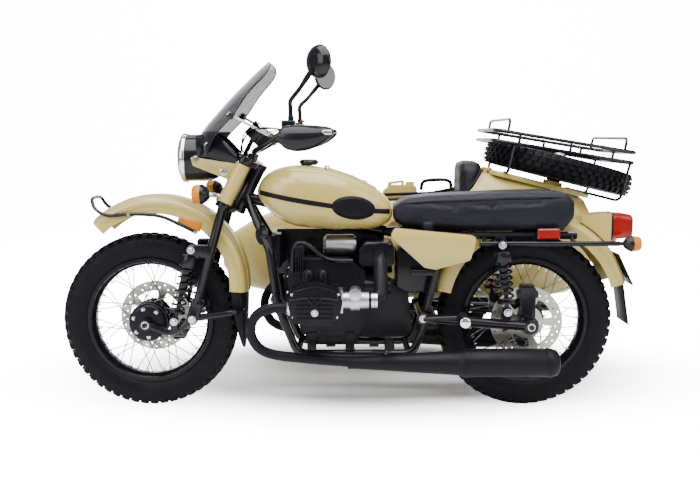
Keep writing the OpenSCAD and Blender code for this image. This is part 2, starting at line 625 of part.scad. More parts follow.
// bike frame: points of the left cradle, from the steering head round under the engine to the saddle rail
cradle = [on_head(-4, 14, -36), [1012, cradle_y, 640], [982, cradle_y, 420], [905, cradle_y, cradle_z],
    [452, cradle_y, cradle_z], [418, cradle_y, 330], [340, rail_y, rail_z]];
rail_front = [560, 30, 706];
rail_back = -176;
stay_y = 150;
stay_d = 20;
stay_back = -332;
pivot_d = 20;
pivot_half = 172;
spine_d = 44;
pad_rise = 8;
module main_frame() color(black) {
    difference() {
        union() {
            steer() translate([0, 0, -head_len / 2]) cylinder(d = stem_d + 22, h = head_len);
            rod(spine_front, spine_back, spine_d);
            both_sides() bent_bar(cradle, frame_tube_d, 55, 12);
        }
        steer() translate([0, 0, -head_len]) cylinder(d = stem_d + 2 * run_gap, h = 2 * head_len);
    }
    both_sides() {
        bent_bar([rail_front, [500, rail_y, rail_z], [rail_back, rail_y, rail_z]], rail_d, 40);
        // thin outer rail that carries the rear lights
        rod([204, stay_y, rear_shock_top.z], [stay_back, stay_y, rear_shock_top.z], stay_d);
        for (x = [184, rail_back + 20]) rod([x, rail_y, rail_z], [x, stay_y, rear_shock_top.z + 4], 16);
        // ear and pin for the rear shock
        translate([rear_shock_top.x - 20, rail_y - 8, rear_shock_top.z - 14]) cube([40, 30, rail_z - rear_shock_top.z + 14]);
        across([rear_shock_top.x, rail_y, rear_shock_top.z]) cylinder(d = shock_pin_d, h = rear_shock_y - rail_y + 20);
    }
    for (x = [905, 470]) across([x, -cradle_y, cradle_z]) cylinder(d = 26, h = 2 * cradle_y);
    across([500, -rail_y, rail_z]) cylinder(d = 22, h = 2 * rail_y);
    across(swing_pivot - [0, cradle_y, 0]) cylinder(d = 32, h = 2 * cradle_y);
    across(swing_pivot - [0, pivot_half, 0]) cylinder(d = pivot_d, h = 2 * pivot_half);
    // cushioned pads under the tank's tunnel
    slope = atan2(spine_front.z - spine_back.z, spine_front.x - spine_back.x);
    for (t = [0.22, 0.72]) translate(mix(spine_front, spine_back, t)) rotate([0, -slope, 0])
        translate([-30, -20, 0]) cube([60, 40, spine_d / 2 + pad_rise]);
}

// engine and drive
module engine_block() color(satin) {
    half = 118;
    rotate([90, 0, 0]) {
        linear_extrude(2 * half, center = true) polygon(rounded([[664, 300], [866, 300], [932, 400], [944, 560],
            [896, 608], [704, 608], [640, 560], [640, 380]], 26));
        linear_extrude(172, center = true) polygon(rounded([[676, 262], [866, 262], [880, 320], [650, 320]], 12));
        linear_extrude(176, center = true) polygon(rounded([[452, 300], [660, 290], [660, 540], [600, 540], [470, 470]], 30));
    }
    // round front cover of the case and the starter beside the gearbox
    along_x([930, 0, cylinder_z]) cylinder(d1 = 200, d2 = 150, h = 30);
    along_x([540, 96, 500]) cylinder(d = 62, h = 104);
    // feet on the lower frame tubes
    for (x = [700, 850], s = [-1, 1]) translate([x - 18, s * cradle_y - 16, cradle_z + tube_r + seat_gap]) cube([36, 32, 70]);
    // rounds that the cylinders bolt to
    for (s = [-1, 1]) across([crank_x, s > 0 ? half - 4 : -cylinder_from + seat_gap, cylinder_z])
        cylinder(d = fin_d - 10, h = cylinder_from - seat_gap - half + 4);
}
head_size = [168, 150];
module cylinders() color(satin) both_sides() {
    pitch = (head_from - cylinder_from) / fin_count;
    fin_t = 5;
    across([crank_x, 0, cylinder_z]) {
        rotate_extrude() polygon(concat([[0, cylinder_from]], [for (i = [0:fin_count - 1]) let(y = cylinder_from + i * pitch)
            each [[fin_d / 2 - 16, y], [fin_d / 2 - 16, y + pitch - fin_t], [fin_d / 2, y + pitch - fin_t], [fin_d / 2, y + pitch]]],
            [[0, head_from]]));
        translate([0, 0, head_from - 1]) linear_extrude(cover_from - head_from + 1)
            square([head_size.x - 30, head_size.y - 24], center = true);
        for (i = [0:3]) translate([0, 0, head_from + 2 + i * 10]) linear_extrude(6)
            square(head_size, center = true);
    }
}
COVER = [[-100, 10], [-86, 62], [-30, 76], [0, 84], [30, 76], [86, 62], [100, 10], [88, -52], [40, -76], [-40, -76], [-88, -52]];
module valve_covers() color(black) both_sides() translate([crank_x, 0, cylinder_z]) {
    depth = cylinder_reach - cover_from - seat_gap;
    skirt = 16;
    dome = depth - skirt - 10;
    across([0, cover_from + seat_gap, 0]) mirror([0, 1, 0]) {
        linear_extrude(skirt) polygon(rounded(COVER, 9));
        linear_extrude(skirt + dome) polygon(rounded([for (p = COVER) p * 0.88], 9));
        linear_extrude(skirt + dome + 4) polygon(rounded([for (p = COVER) p * 0.78], 9));
        for (z = [-44:16:36]) translate([-66, z - 3, 0]) cube([132, 6, depth]);
        cylinder(d = 22, h = depth);
    }
}
port_y = 290;
module throttle_bodies() color(alloy) both_sides() {
    back = crank_x - head_size.x / 2 - seat_gap;
    along_x([back - 112, port_y, cylinder_z + 8]) {
        cylinder(d = 62, h = 112);
        translate([0, 0, 96]) linear_extrude(16) square([86, 62], center = true);
        translate([0, 0, 34]) cylinder(d = 76, h = 34);
    }
    across([back - 62, port_y - 20, cylinder_z + 36]) cylinder(d = 46, h = 62);
}
module air_box() color(black) {
    half = 112;
    rotate([90, 0, 0]) linear_extrude(2 * half, center = true)
        polygon(rounded([[528, 580], [664, 580], [664, 640], [640, 664], [528, 664]], 16));
    translate([560, 0, 540 + seat_gap]) cylinder(d = 60, h = 60);
    hose_x = crank_x - head_size.x / 2 - 2 * seat_gap - 112;
    both_sides() bent_bar([[hose_x, port_y, cylinder_z + 8], [hose_x - 46, port_y, cylinder_z + 8],
        [hose_x - 44, 220, 614], [hose_x - 44, half - 4, 620]], 54, 34, 12);
}
module alternator() color(alloy) along_x([684, 0, 608 + seat_gap + 42]) difference() {
    union() {
        cylinder(r = 42, h = 110);
        translate([0, 0, 110]) cylinder(d1 = 84, d2 = 60, h = 12);
        translate([0, 0, -8]) cylinder(r = 34, h = 10);
    }
    for (i = [0:9]) rotate(i * 36) translate([30, 0, 104]) cylinder(d = 7, h = 30);
}
outlet_r = 30;
outlet_depth = 40;
module exhaust() color(black) both_sides() {
    port_x = crank_x + head_size.x / 2 + seat_gap;
    bent_bar([[port_x, port_y, cylinder_z - 22], [1036, port_y, cylinder_z - 22], [1060, 256, 308],
        [1000, muffler_y, 258], [700, muffler_y, 230]], header_d, 40, 12);
    along_x([-92, muffler_y, 228]) rotate_extrude() polygon([[0, outlet_depth], [outlet_r, outlet_depth], [outlet_r, 0], [38, 0], [muffler_d / 2, 26],
        [muffler_d / 2, 372], [muffler_d / 2 - 3, 376], [muffler_d / 2 - 6, 384], [header_d / 2 + 4, 770],
        [header_d / 2 + 4, 800], [0, 800]]);
}

// fuel tank: columns x, low edge, high edge, share of half the width, squareness
TANK = [[536, 762, 800, 0.36, 2.6], [552, 742, 838, 0.52, 2.8], [602, 720, 880, 0.68, 3], [690, 716, 925, 0.84, 3],
    [780, 717, 954, 0.95, 3], [870, 724, 968, 1, 2.8], [940, 738, 966, 0.98, 2.7], [1000, 772, 950, 0.86, 2.6],
    [1040, 812, 922, 0.62, 2.4], [1064, 842, 884, 0.3, 2.2]];
function tank_rings(g) = [for (i = [0:len(TANK) - 1]) let(t = TANK[i], x = t[0] + (i == 0 ? -g : i == len(TANK) - 1 ? g : 0))
    ring(x, 0, t[1] - g, t[2] + g, t[3] * tank_w / 2 + g, t[4])];
cap_x = 863;
cap_d = 76;
lid_pivot = [796, 0, 962];
tank_lid_len = 200;
tank_lid_w = 110;
barrel_d = 10;
lid_sheet = 5;
module tunnel() {
    half = spine_d / 2 + 10;
    roof = spine_d / 2 + pad_rise + seat_gap;
    slope = atan2(spine_front.z - spine_back.z, spine_front.x - spine_back.x);
    translate(spine_back) rotate([0, -slope, 0]) translate([-60, -half, -120]) cube([700, 2 * half, 120 + roof]);
}
module fuel_tank() color(paint) difference() {
    skin(tank_rings(0));
    tunnel();
    across(lid_pivot - [0, tank_lid_w / 2 + 1, 0]) cylinder(d = barrel_d + 2 * seat_gap, h = tank_lid_w + 2);
}
module tank_cap() color(black) translate([cap_x, 0, TANK[5][2] + seat_gap]) {
    cylinder(d = cap_d - 14, h = 6);
    translate([0, 0, 5]) cylinder(d1 = cap_d, d2 = cap_d - 8, h = 18);
}
module tank_lid() color(paint) {
    difference() {
        intersection() {
            skin(tank_rings(lid_sheet));
            translate([lid_pivot.x - tank_lid_len, -tank_lid_w / 2, 840]) cube([tank_lid_len - barrel_d, tank_lid_w, 200]);
        }
        skin(tank_rings(seat_gap));
    }
    across(lid_pivot - [0, tank_lid_w / 2, 0]) cylinder(d = barrel_d, h = tank_lid_w);
    translate(lid_pivot + [-barrel_d - 6, -tank_lid_w / 2, -1]) cube([barrel_d + 6, tank_lid_w, 4]);
}
knee_mid = [686, 808];
knee_half = [86, 46];
module knee_pads() color(rubber) difference() {
    intersection() {
        skin(tank_rings(9));
        translate([knee_mid.x, 0, knee_mid.y]) rotate([90, 7, 0]) linear_extrude(tank_w + 60, center = true)
            polygon([for (i = [0:31]) let(a = 360 * i / 32) [knee_half.x * cos(a), knee_half.y * sin(a)]]);
    }
    skin(tank_rings(seat_gap));
}
// saddle: columns x, low edge, high edge, share of half the width
SADDLE = [[-168, 756, 838, 0.84], [-140, 724, 862, 0.96], [-60, 716, 867, 1], [100, 716, 864, 1], [250, 716, 857, 0.96],
    [400, 716, 850, 0.84], [490, 724, 838, 0.72], [530, 752, 812, 0.6]];
module saddle() color(vinyl) difference() {
    union() {
        skin([for (s = SADDLE) ring(s[0], 0, s[1], s[2], s[3] * saddle_w / 2, 4.5)]);
        // feet on the frame's rails
        for (x = [-130, 380], s = [-1, 1]) translate([x, s * rail_y - 11, seat_base_z]) cube([40, 22, 30]);
    }
    across(rear_fender_mid - [0, fender_w / 2 + 8, 0]) cylinder(r = rear_fender_r + 6, h = fender_w + 16, $fn = 96);
}
SIDE_COVER = [[548, 704], [528, 734], [214, 704], [240, 610], [372, 574], [414, 582]];
module side_covers() color(paint) both_sides() {
    inner = rail_y + rail_d / 2 + 9;
    outer = inner + 34;
    intersection() {
        translate([0, outer, 0]) rotate([90, 0, 0]) linear_extrude(outer - inner) polygon(rounded(SIDE_COVER, 18));
        along_x([100, outer - 300, 655]) cylinder(r = 300, h = 600, $fn = 96);
    }
    for (x = [260, 470]) across([x, rail_y + rail_d / 2 + seat_gap, rail_z]) cylinder(d = 16, h = 12);
}
rear_fender_from = 12;
rear_fender_to = 164;
lamp_base = [-330, 727];
module rear_fender() color(paint) {
    fender_arc(rear_fender_mid, rear_fender_r, rear_fender_from, rear_fender_to);
    for (x = [200, -150], s = [-1, 1]) {
        gap = rail_y - rail_d / 2 - seat_gap;
        across([x, s > 0 ? fender_w / 2 - 2 : -gap, rail_z]) cylinder(d = 16, h = gap - fender_w / 2 + 2);
    }
    // raised base of the tail lamp
    difference() {
        rotate([90, 0, 0]) linear_extrude(104, center = true)
            polygon(rounded([[-214, 772], [lamp_base.x, 782], [lamp_base.x, 660], [-296, 640], [-200, 700]], 6));
        across(rear_fender_mid - [0, 100, 0]) cylinder(r = rear_fender_r - 2, h = 200, $fn = 96);
    }
}
module rear_mud_flap() color(rubber) {
    top = rear_fender_mid + (rear_fender_r - sheet - seat_gap - 12) * [cos(rear_fender_to - 2), 0, sin(rear_fender_to - 2)];
    translate(top + [0, -72, 0]) rotate([0, 9, 0]) translate([0, 0, -182]) cube([flap_t, 144, 182]);
}
module rear_lights() color(red) {
    along_x([lamp_base.x - seat_gap - 92, 0, lamp_base.y]) {
        cylinder(d1 = 84, d2 = 104, h = 30);
        translate([0, 0, 30]) cylinder(d = 106, h = 62);
    }
    for (s = [-1, 1]) {
        along_x([stay_back - seat_gap - 18, s * stay_y, rear_shock_top.z]) cylinder(d = 22, h = 18);
        along_x([stay_back - seat_gap - 92, s * stay_y, rear_shock_top.z]) {
            cylinder(d1 = 50, d2 = 60, h = 40);
            translate([0, 0, 40]) cylinder(d = 62, h = 36);
        }
    }
}

// rear suspension
arm_y = 152;
arm_d = 38;
drive_d = 204;
module swingarm() color(black) {
    boss_from = rail_y + tube_r + seat_gap;
    lug_to = rear_shock_y - shock_eye_half - seat_gap;
    boss_to = arm_y + 19;
    for (s = [-1, 1]) difference() {
        union() {
            rod([swing_pivot.x, s * arm_y, swing_pivot.z], [0, s * arm_y, axle_z], arm_d);
            across([swing_pivot.x, s > 0 ? boss_from : -boss_to, swing_pivot.z]) cylinder(d = 46, h = boss_to - boss_from);
            across([0, s * arm_y - 19, axle_z]) cylinder(d = 56, h = 38);
            translate([rear_shock_low.x - 18, s > 0 ? arm_y - 19 : -lug_to, 350]) cube([36, lug_to - arm_y + 19, rear_shock_low.z - 338]);
        }
        across([swing_pivot.x, s * arm_y - 40, swing_pivot.z]) cylinder(d = pivot_d + 2 * seat_gap, h = 80);
    }
    rod([370, -arm_y, 381], [370, arm_y, 381], 22);
    across([0, -arm_y - 30, axle_z]) cylinder(d = axle_d, h = 2 * arm_y + 60);
    across([0, hub_half + disc_t + 3 * seat_gap, axle_z]) cylinder(d = axle_d + 8, h = arm_y - 18 - hub_half - disc_t);
    for (s = [-1, 1]) across([rear_shock_low.x, s > 0 ? arm_y : -rear_shock_y - 18, rear_shock_low.z])
        cylinder(d = shock_pin_d, h = rear_shock_y - arm_y + 18);
    // final drive on the right, round the end of the axle
    across([0, -arm_y + 10, axle_z]) rotate_extrude() polygon([[axle_d / 2 - 2, -34], [40, -34], [drive_d / 2 - 26, -22],
        [drive_d / 2, 8], [drive_d / 2, 40], [drive_d / 2 - 20, 56], [36, arm_y - 10 - hub_half - seat_gap],
        [axle_d / 2 - 2, arm_y - 10 - hub_half - seat_gap]]);
    // bracket of the rear caliper
    translate([-30, disc_at + disc_t + 18 + seat_gap, axle_z - 10]) cube([60, 8, 150]);
    across([0, disc_at + disc_t + 18 + seat_gap, axle_z]) cylinder(d = 70, h = arm_y - disc_at - disc_t - 30);
}
module rear_shocks() color(black) both_sides() shock(rear_shock_top, rear_shock_low, 33, 0.25);
module rear_caliper() color(black) across([0, 0, axle_z]) translate([0, 0, disc_at]) rotate(-90) caliper();
module footpegs() color(black) both_sides() {
    // rider's peg on an arm from the cradle
    rod([560, cradle_y + tube_r + 2, cradle_z + 4], [556, 200, 290], 18);
    rod([556, 196, 288], [556, 286, 318], 16);
    across([556, 280, 322]) cylinder(d = 32, h = 90);
    // passenger's peg on an arm from the end of the swinging arm's pivot
    rod([swing_pivot.x, pivot_half + seat_gap + 9, swing_pivot.z], [280, 204, 396], 18);
    across([274, 190, 398]) cylinder(d = 36, h = 116);
}

// sidecar: columns x, low edge, high edge, share of half the width
TUB = [[-402, 470, 742, 0.78], [-372, 400, 800, 0.86], [-300, 352, 850, 0.92], [-140, 330, 895, 0.98], [20, 330, 934, 1],
    [92, 330, 940, 1], [176, 330, 848, 1], [300, 330, 822, 1], [600, 330, 806, 0.99], [850, 332, 782, 0.94],
    [1020, 344, 742, 0.83], [1160, 372, 688, 0.66], [1256, 416, 628, 0.42], [1300, 466, 580, 0.2]];
TUB_POWER = 4;
function tub_rings(g) = [for (i = [0:len(TUB) - 1]) let(t = TUB[i], x = t[0] + (i == 0 ? g : i == len(TUB) - 1 ? -g : 0))
    ring(x, tub_y, t[1] + g, t[2] - g, t[3] * tub_half - g, TUB_POWER)];
cockpit = [94, 800];
cockpit_half = 216;
trunk = [-318, 40];
trunk_half = 196;
bulkhead = [66, cockpit[0]];
tub_tube_d = 42;
tub_cross_d = 34;
tub_frame_z = 330 - seat_gap - tub_cross_d / 2;
module on_lid() translate(lid_hinge) rotate([0, -lid_slope, 0]) children();
module sidecar_body() color(paint) {
    difference() {
        skin(tub_rings(0));
        // hollow in two parts, footwell and trunk, with the bulkhead left between them
        intersection() {
            skin(tub_rings(tub_wall));
            union() {
                translate([bulkhead[1], tub_y - 400, 0]) cube([1400, 800, 1200]);
                translate([-600, tub_y - 400, 0]) cube([600 + bulkhead[0], 800, 1200]);
            }
        }
        // cockpit mouth with round corners
        translate([0, tub_y, 600]) linear_extrude(500) polygon(rounded([[cockpit[0], -cockpit_half],
            [cockpit[1], -cockpit_half + 40], [cockpit[1], cockpit_half - 40], [cockpit[0], cockpit_half]], 70));
        // flat seat of the lid, and the trunk's mouth under it
        on_lid() translate([-700, -400, -lid_t - seat_gap]) cube([700 + hinge_ledge, 800, 300]);
        on_lid() translate([0, 0, -300]) linear_extrude(400) polygon(rounded([[-lid_len + 44, -trunk_half],
            [-44, -trunk_half], [-44, trunk_half], [-lid_len + 44, trunk_half]], 40));
    }
    // ears and pins of the lid's two hinges
    on_lid() for (s = [-1, 1]) {
        for (y = [-knuckle_half - seat_gap - ear_w, knuckle_half + seat_gap])
            translate([-8, s * hinge_y + y, -lid_t - seat_gap - 4]) cube([16, ear_w, lid_t + 12]);
        translate([0, s * hinge_y - knuckle_half - 3, 0]) rotate([-90, 0, 0]) cylinder(d = lid_pin_d, h = 2 * knuckle_half + 6);
    }
}
module sidecar_frame() color(black) {
    near = tub_y + 250;
    far = tub_y - 250;
    z = tub_frame_z;
    bent_bar([[-230, near, z], [960, near, z], [1060, tub_y + 90, z], [1060, tub_y - 90, z], [960, far, z], [-230, far, z]],
        tub_tube_d, 70);
    for (x = [-180, 250, 620]) across([x, far, z]) cylinder(d = tub_cross_d, h = near - far);
    // arm to the wheel's pivot
    across([560, -track + 112, z]) cylinder(d = tub_cross_d, h = track - 112 + far);
    // struts to the bike, each with a clamp round a frame tube
    clamp_in = frame_tube_d + 2 * seat_gap;
    for (x = [780, 600]) difference() {
        union() {
            bent_bar([[x, -cradle_y, cradle_z], [x, -190, 324], [x, near, z]], 26, 30);
            along_x([x - 20, -cradle_y, cradle_z]) cylinder(d = clamp_in + 20, h = 40);
        }
        along_x([x - 60, -cradle_y, cradle_z]) cylinder(d = clamp_in, h = 120);
    }
    difference() {
        union() {
            bent_bar([[56, -rail_y, rail_z], [56, -rail_y, 610], [56, near, z]], 26, 30);
            along_x([36, -rail_y, rail_z]) cylinder(d = rail_d + 2 * seat_gap + 11, h = 40);
        }
        along_x([-20, -rail_y, rail_z]) cylinder(d = rail_d + 2 * seat_gap, h = 160);
    }
    low = mirror_y(cradle[2]);
    high = mirror_y(cradle[1]);
    dir = unit(high - low);
    difference() {
        union() {
            rod(mix(low, high, 0.5), [960, near, z], 26);
            rod(mix(low, high, 0.5) - 20 * dir, mix(low, high, 0.5) + 20 * dir, clamp_in + 20);
        }
        rod(low, high, clamp_in);
    }
}
module sidecar_seat() color(vinyl) {
    floor_z = 330 + tub_wall + 1.8;
    half = 196;
    // cushion on its box, and a back that leans on the bulkhead
    skin([for (t = [[214, 0.94], [234, 1], [560, 1], [600, 0.92]]) ring(t[0], tub_y, floor_z, 520, t[1] * half, 4)]);
    back = bulkhead[1] + seat_gap;
    skin([for (t = [[528, 0, 0.9], [560, 0, 1], [820, 0, 1], [930, 0, 0.86], [962, 4, 0.66]])
        [for (i = [0:19]) let(a = 360 * i / 20) [back + 48 + 48 * pw(cos(a), 0.5), tub_y + 0.9 * t[2] * half * pw(sin(a), 0.4), t[0]]]]);
}
function pw(v, p) = sign(v) * pow(abs(v), p);
sidecar_fender_from = 4;
sidecar_fender_to = 176;
module sidecar_fender() color(paint) {
    fender_arc(sidecar_fender_mid, sidecar_fender_r, sidecar_fender_from, sidecar_fender_to);
    inner = -track + fender_w / 2 - 3;
    for (x = [585, -85]) let(wall = tub_y - tub_half * lookup(x, [for (t = TUB) [t[0], t[3]]]) - seat_gap)
        across([x, inner, sidecar_fender_mid.z + 130]) cylinder(d = 18, h = wall - inner + 1.4);
}
module sidecar_swingarm() color(black) {
    arm = -track + 128;
    z = tub_frame_z;
    pivot = [560, arm, z];
    difference() {
        union() {
            rod(pivot, [wheel_lead, arm, axle_z], 38);
            across([560, arm - 15, z]) cylinder(d = 64, h = 30);
            across([wheel_lead, arm - 20, axle_z]) cylinder(d = 58, h = 40);
        }
        across([560, arm - 40, z]) cylinder(d = tub_cross_d + 2 * seat_gap, h = 80);
    }
    across([wheel_lead, -track - sidecar_nut, axle_z]) cylinder(d = axle_d, h = arm + track + sidecar_nut);
    across([wheel_lead, -track + hub_half + seat_gap, axle_z]) cylinder(d = axle_d + 14, h = 128 - hub_half);
    across([wheel_lead, -track - sidecar_nut + 2, axle_z]) cylinder(d = 34, h = sidecar_nut - 2 - hub_half - seat_gap);
}
can_x = 360;
can_size = [172, 84, 350];
module jerry_can() color(paint) {
    wall = tub_y - tub_half * lookup(can_x, [for (t = TUB) [t[0], t[3]]]) - seat_gap;
    foot = 484;
    translate([can_x, wall - can_size.y, foot]) {
        rotate([90, 0, 0]) mirror([0, 0, 1]) linear_extrude(can_size.y)
            polygon(rounded([[0, 0], [can_size.x, 0], [can_size.x, can_size.z - 30], [can_size.x - 40, can_size.z], [0, can_size.z]], 18));
        translate([34, can_size.y / 2, can_size.z - 4]) cylinder(d = 44, h = 20);
        // three carrying bars
        for (y = [18, 42, 66]) translate([0, y + 5, 0]) rotate([90, 0, 0]) linear_extrude(10) difference() {
            polygon(rounded([[64, can_size.z - 8], [150, can_size.z - 30], [144, can_size.z + 14], [66, can_size.z + 24]], 6));
            polygon(rounded([[76, can_size.z - 30], [134, can_size.z - 50], [132, can_size.z + 5], [76, can_size.z + 14]], 5));
        }
    }
}
// lid, rack and spare, which lift together on the hinge in front of the lid
module trunk_lid() color(paint) on_lid() {
    difference() {
        union() {
            translate([0, 0, -lid_t]) linear_extrude(lid_t)
                polygon(rounded([[-lid_len, -lid_half + 20], [-18, -lid_half], [-18, lid_half], [-lid_len, lid_half - 20]], 60));
            translate([-lid_len + 70, -170, -1]) cube([lid_len - 150, 340, 6]);
            for (s = [-1, 1]) {
                translate([0, s * hinge_y - knuckle_half, 0]) rotate([-90, 0, 0]) cylinder(d = 16, h = 2 * knuckle_half);
                translate([-40, s * hinge_y - knuckle_half, -6]) cube([40, 2 * knuckle_half, 8]);
            }
        }
        translate([0, -lid_half, 0]) rotate([-90, 0, 0]) cylinder(d = lid_pin_d + 2 * run_gap, h = 2 * lid_half);
    }
    // post that the spare wheel bolts to
    translate([-spare_along, 0, 4]) cylinder(d = 90, h = spare_above + tyre_w / 2 - hub_half - seat_gap - 4);
    translate([-spare_along, 0, 4]) cylinder(d = axle_d, h = spare_above + tyre_w / 2 + hub_half + 14);
}
// lid rack: it leans back less than the lid, two rails round it and a raised loop at each end
rack_tilt = 4.7;
rack_rails = [132, 178];
rack_front = 2;
rack_back = -634;
rack_half = 274;
module luggage_rack() color(black) on_lid() {
    post_d = rack_tube_d - 4;
    loop_up = 56;
    rotate([0, rack_tilt, 0]) {
        for (z = rack_rails) hoop([[rack_front, rack_half], [rack_back, rack_half], [rack_back, -rack_half], [rack_front, -rack_half]],
            z, rack_tube_d, 44);
        for (s = [-1, 1], x = [-110, -340, -530]) rod([x, s * rack_half, rack_rails[0]], [x, s * rack_half, rack_rails[1]], post_d);
        for (x = [rack_front - 56, rack_back + 56]) bent_bar([[x, -rack_half, rack_rails[1]], [x, -rack_half, rack_rails[1] + loop_up],
            [x, rack_half, rack_rails[1] + loop_up], [x, rack_half, rack_rails[1]]], post_d, 22);
    }
    // legs down to the lid, the rear ones round the tyre
    tip = [cos(rack_tilt), sin(rack_tilt)];
    front_leg = -84;
    rear_leg = -600;
    for (s = [-1, 1]) {
        bent_bar([[front_leg, s * rack_half, (rack_rails[0] - front_leg * tip[1]) / tip[0]], [front_leg, s * rack_half, rack_foot],
            [front_leg, s * 190, rack_foot]], post_d, 24);
        bent_bar([[rear_leg, s * rack_half, (rack_rails[0] - rear_leg * tip[1]) / tip[0]], [rear_leg, s * rack_half, rack_foot],
            [-lid_len + 20, s * 170, rack_foot]], post_d, 24);
    }
}
rack_foot = seat_gap + (rack_tube_d - 4) / 2;
module on_spare() on_lid() translate([-spare_along, 0, spare_above + tyre_w / 2]) children();
module spare_tyre() color(rubber) on_spare() tyre();
module spare_wheel() color(black) on_spare() {
    rim();
    laced_hub();
}

placed() front_tyre();
placed() front_wheel_rim();
placed() front_hub();
placed() front_disc();
placed() rear_tyre();
placed() rear_wheel_rim();
placed() rear_hub();
placed() rear_disc();
placed() sidecar_tyre();
placed() sidecar_wheel_rim();
placed() sidecar_hub();
placed() front_fork();
placed() leading_arm();
placed() front_shocks();
placed() front_fender();
placed() front_mud_flap();
placed() bumper_bar();
placed() headlight();
placed() fork_cowl();
placed() windshield();
placed() speedometer();
placed() handlebar();
placed() hand_guards();
placed() mirrors();
placed() front_indicators();
placed() front_caliper();
placed() main_frame();
placed() engine_block();
placed() cylinders();
placed() valve_covers();
placed() throttle_bodies();
placed() air_box();
placed() alternator();
placed() exhaust();
placed() fuel_tank();
placed() tank_cap();
placed() tank_lid();
placed() knee_pads();
placed() saddle();
placed() side_covers();
placed() rear_fender();
placed() rear_mud_flap();
placed() rear_lights();
placed() swingarm();
placed() rear_shocks();
placed() rear_caliper();
placed() footpegs();
placed() sidecar_frame();
placed() sidecar_body();
placed() sidecar_seat();
placed() sidecar_fender();
placed() sidecar_swingarm();
placed() jerry_can();
placed() trunk_lid();
placed() luggage_rack();
placed() spare_tyre();
placed() spare_wheel();
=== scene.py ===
"""Looks of a parked sidecar motorcycle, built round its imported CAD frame."""

import json
import logging
import math
from dataclasses import dataclass, field
from enum import Enum

import bmesh
import bpy
import numpy as np
from mathutils import Matrix

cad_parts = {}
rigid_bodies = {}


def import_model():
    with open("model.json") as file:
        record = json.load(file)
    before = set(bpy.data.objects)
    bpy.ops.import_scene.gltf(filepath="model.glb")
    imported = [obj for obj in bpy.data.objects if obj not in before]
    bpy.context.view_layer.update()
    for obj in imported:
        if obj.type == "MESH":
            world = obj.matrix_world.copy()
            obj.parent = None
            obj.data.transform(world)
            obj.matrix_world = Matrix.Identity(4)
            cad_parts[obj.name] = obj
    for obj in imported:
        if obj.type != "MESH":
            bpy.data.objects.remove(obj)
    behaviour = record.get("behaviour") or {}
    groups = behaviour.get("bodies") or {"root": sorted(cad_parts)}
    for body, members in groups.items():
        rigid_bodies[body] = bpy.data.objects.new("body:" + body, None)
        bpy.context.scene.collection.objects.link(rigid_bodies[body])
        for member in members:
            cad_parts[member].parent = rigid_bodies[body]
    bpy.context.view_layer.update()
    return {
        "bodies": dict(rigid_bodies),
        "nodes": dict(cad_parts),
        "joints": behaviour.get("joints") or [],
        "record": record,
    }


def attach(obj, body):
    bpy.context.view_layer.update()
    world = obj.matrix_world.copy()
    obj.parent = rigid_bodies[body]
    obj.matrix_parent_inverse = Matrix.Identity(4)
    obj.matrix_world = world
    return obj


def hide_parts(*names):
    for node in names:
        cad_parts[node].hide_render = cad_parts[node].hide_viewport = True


LOG = logging.getLogger("sidecar_outfit")
Array = np.ndarray
Vec = tuple[float, float, float]
Colour = tuple[float, float, float]

# the drawing's own frame: millimetres, X forward from the rear axle, Y left, Z up
LEFT = np.array([0.0, 1.0, 0.0])
FORWARD = np.array([1.0, 0.0, 0.0])
UPWARD = np.array([0.0, 0.0, 1.0])
AXLE_Z = 350.0
HEAD = np.array([1101.62, 0.0, 880.0])
RAKE = math.radians(27)
AHEAD = np.array([math.cos(RAKE), 0.0, math.sin(RAKE)])
RISE = np.array([-math.sin(RAKE), 0.0, math.cos(RAKE)])
REAR_AXLE = np.array([0.0, 0.0, AXLE_Z])
FRONT_AXLE = np.array([1500.0, 0.0, AXLE_Z])
SIDECAR_AXLE = np.array([250.0, -1130.0, AXLE_Z])
LID_HINGE = np.array([84.0, -680.0, 935.0])
LID_SLOPE = math.radians(14)
LID_NORMAL = np.array([-math.sin(LID_SLOPE), 0.0, math.cos(LID_SLOPE)])
LID_ALONG = np.array([math.cos(LID_SLOPE), 0.0, math.sin(LID_SLOPE)])
SPARE_STUD = LID_HINGE - 355 * LID_ALONG
TUB_Y = -680.0
BAR_MID = HEAD + 38 * AHEAD + 140.6 * RISE
BAR_ELBOW = BAR_MID + np.array([-128.0, 236.0, 76.0])
BAR_TIP = BAR_MID + np.array([-226.0, 428.0, 66.0])
GRIP_WAY = (BAR_TIP - BAR_ELBOW) / np.linalg.norm(BAR_TIP - BAR_ELBOW)
LAMP_MID = HEAD + np.array([148.0, 0.0, 117.0])
LAMP_R = 92.0

WELD_M = 2e-5
PUFF_STEPS = 20
CAMERA_GLOW = 14.0


class Body(str, Enum):
    """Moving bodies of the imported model."""

    CHASSIS = "chassis"
    FORK = "steered_fork"
    FRONT_WHEEL = "front_wheel"
    REAR_WHEEL = "rear_wheel"
    SIDECAR_WHEEL = "sidecar_wheel"
    TRUNK = "trunk_top"
    TOOL_LID = "tool_lid"


class Grain(Enum):
    """Kinds of fine relief a finish can carry."""

    SMOOTH = "smooth"
    PEBBLE = "pebble"
    CAST = "cast"
    BRUSHED = "brushed"


# ---------------------------------------------------------------- surfaces


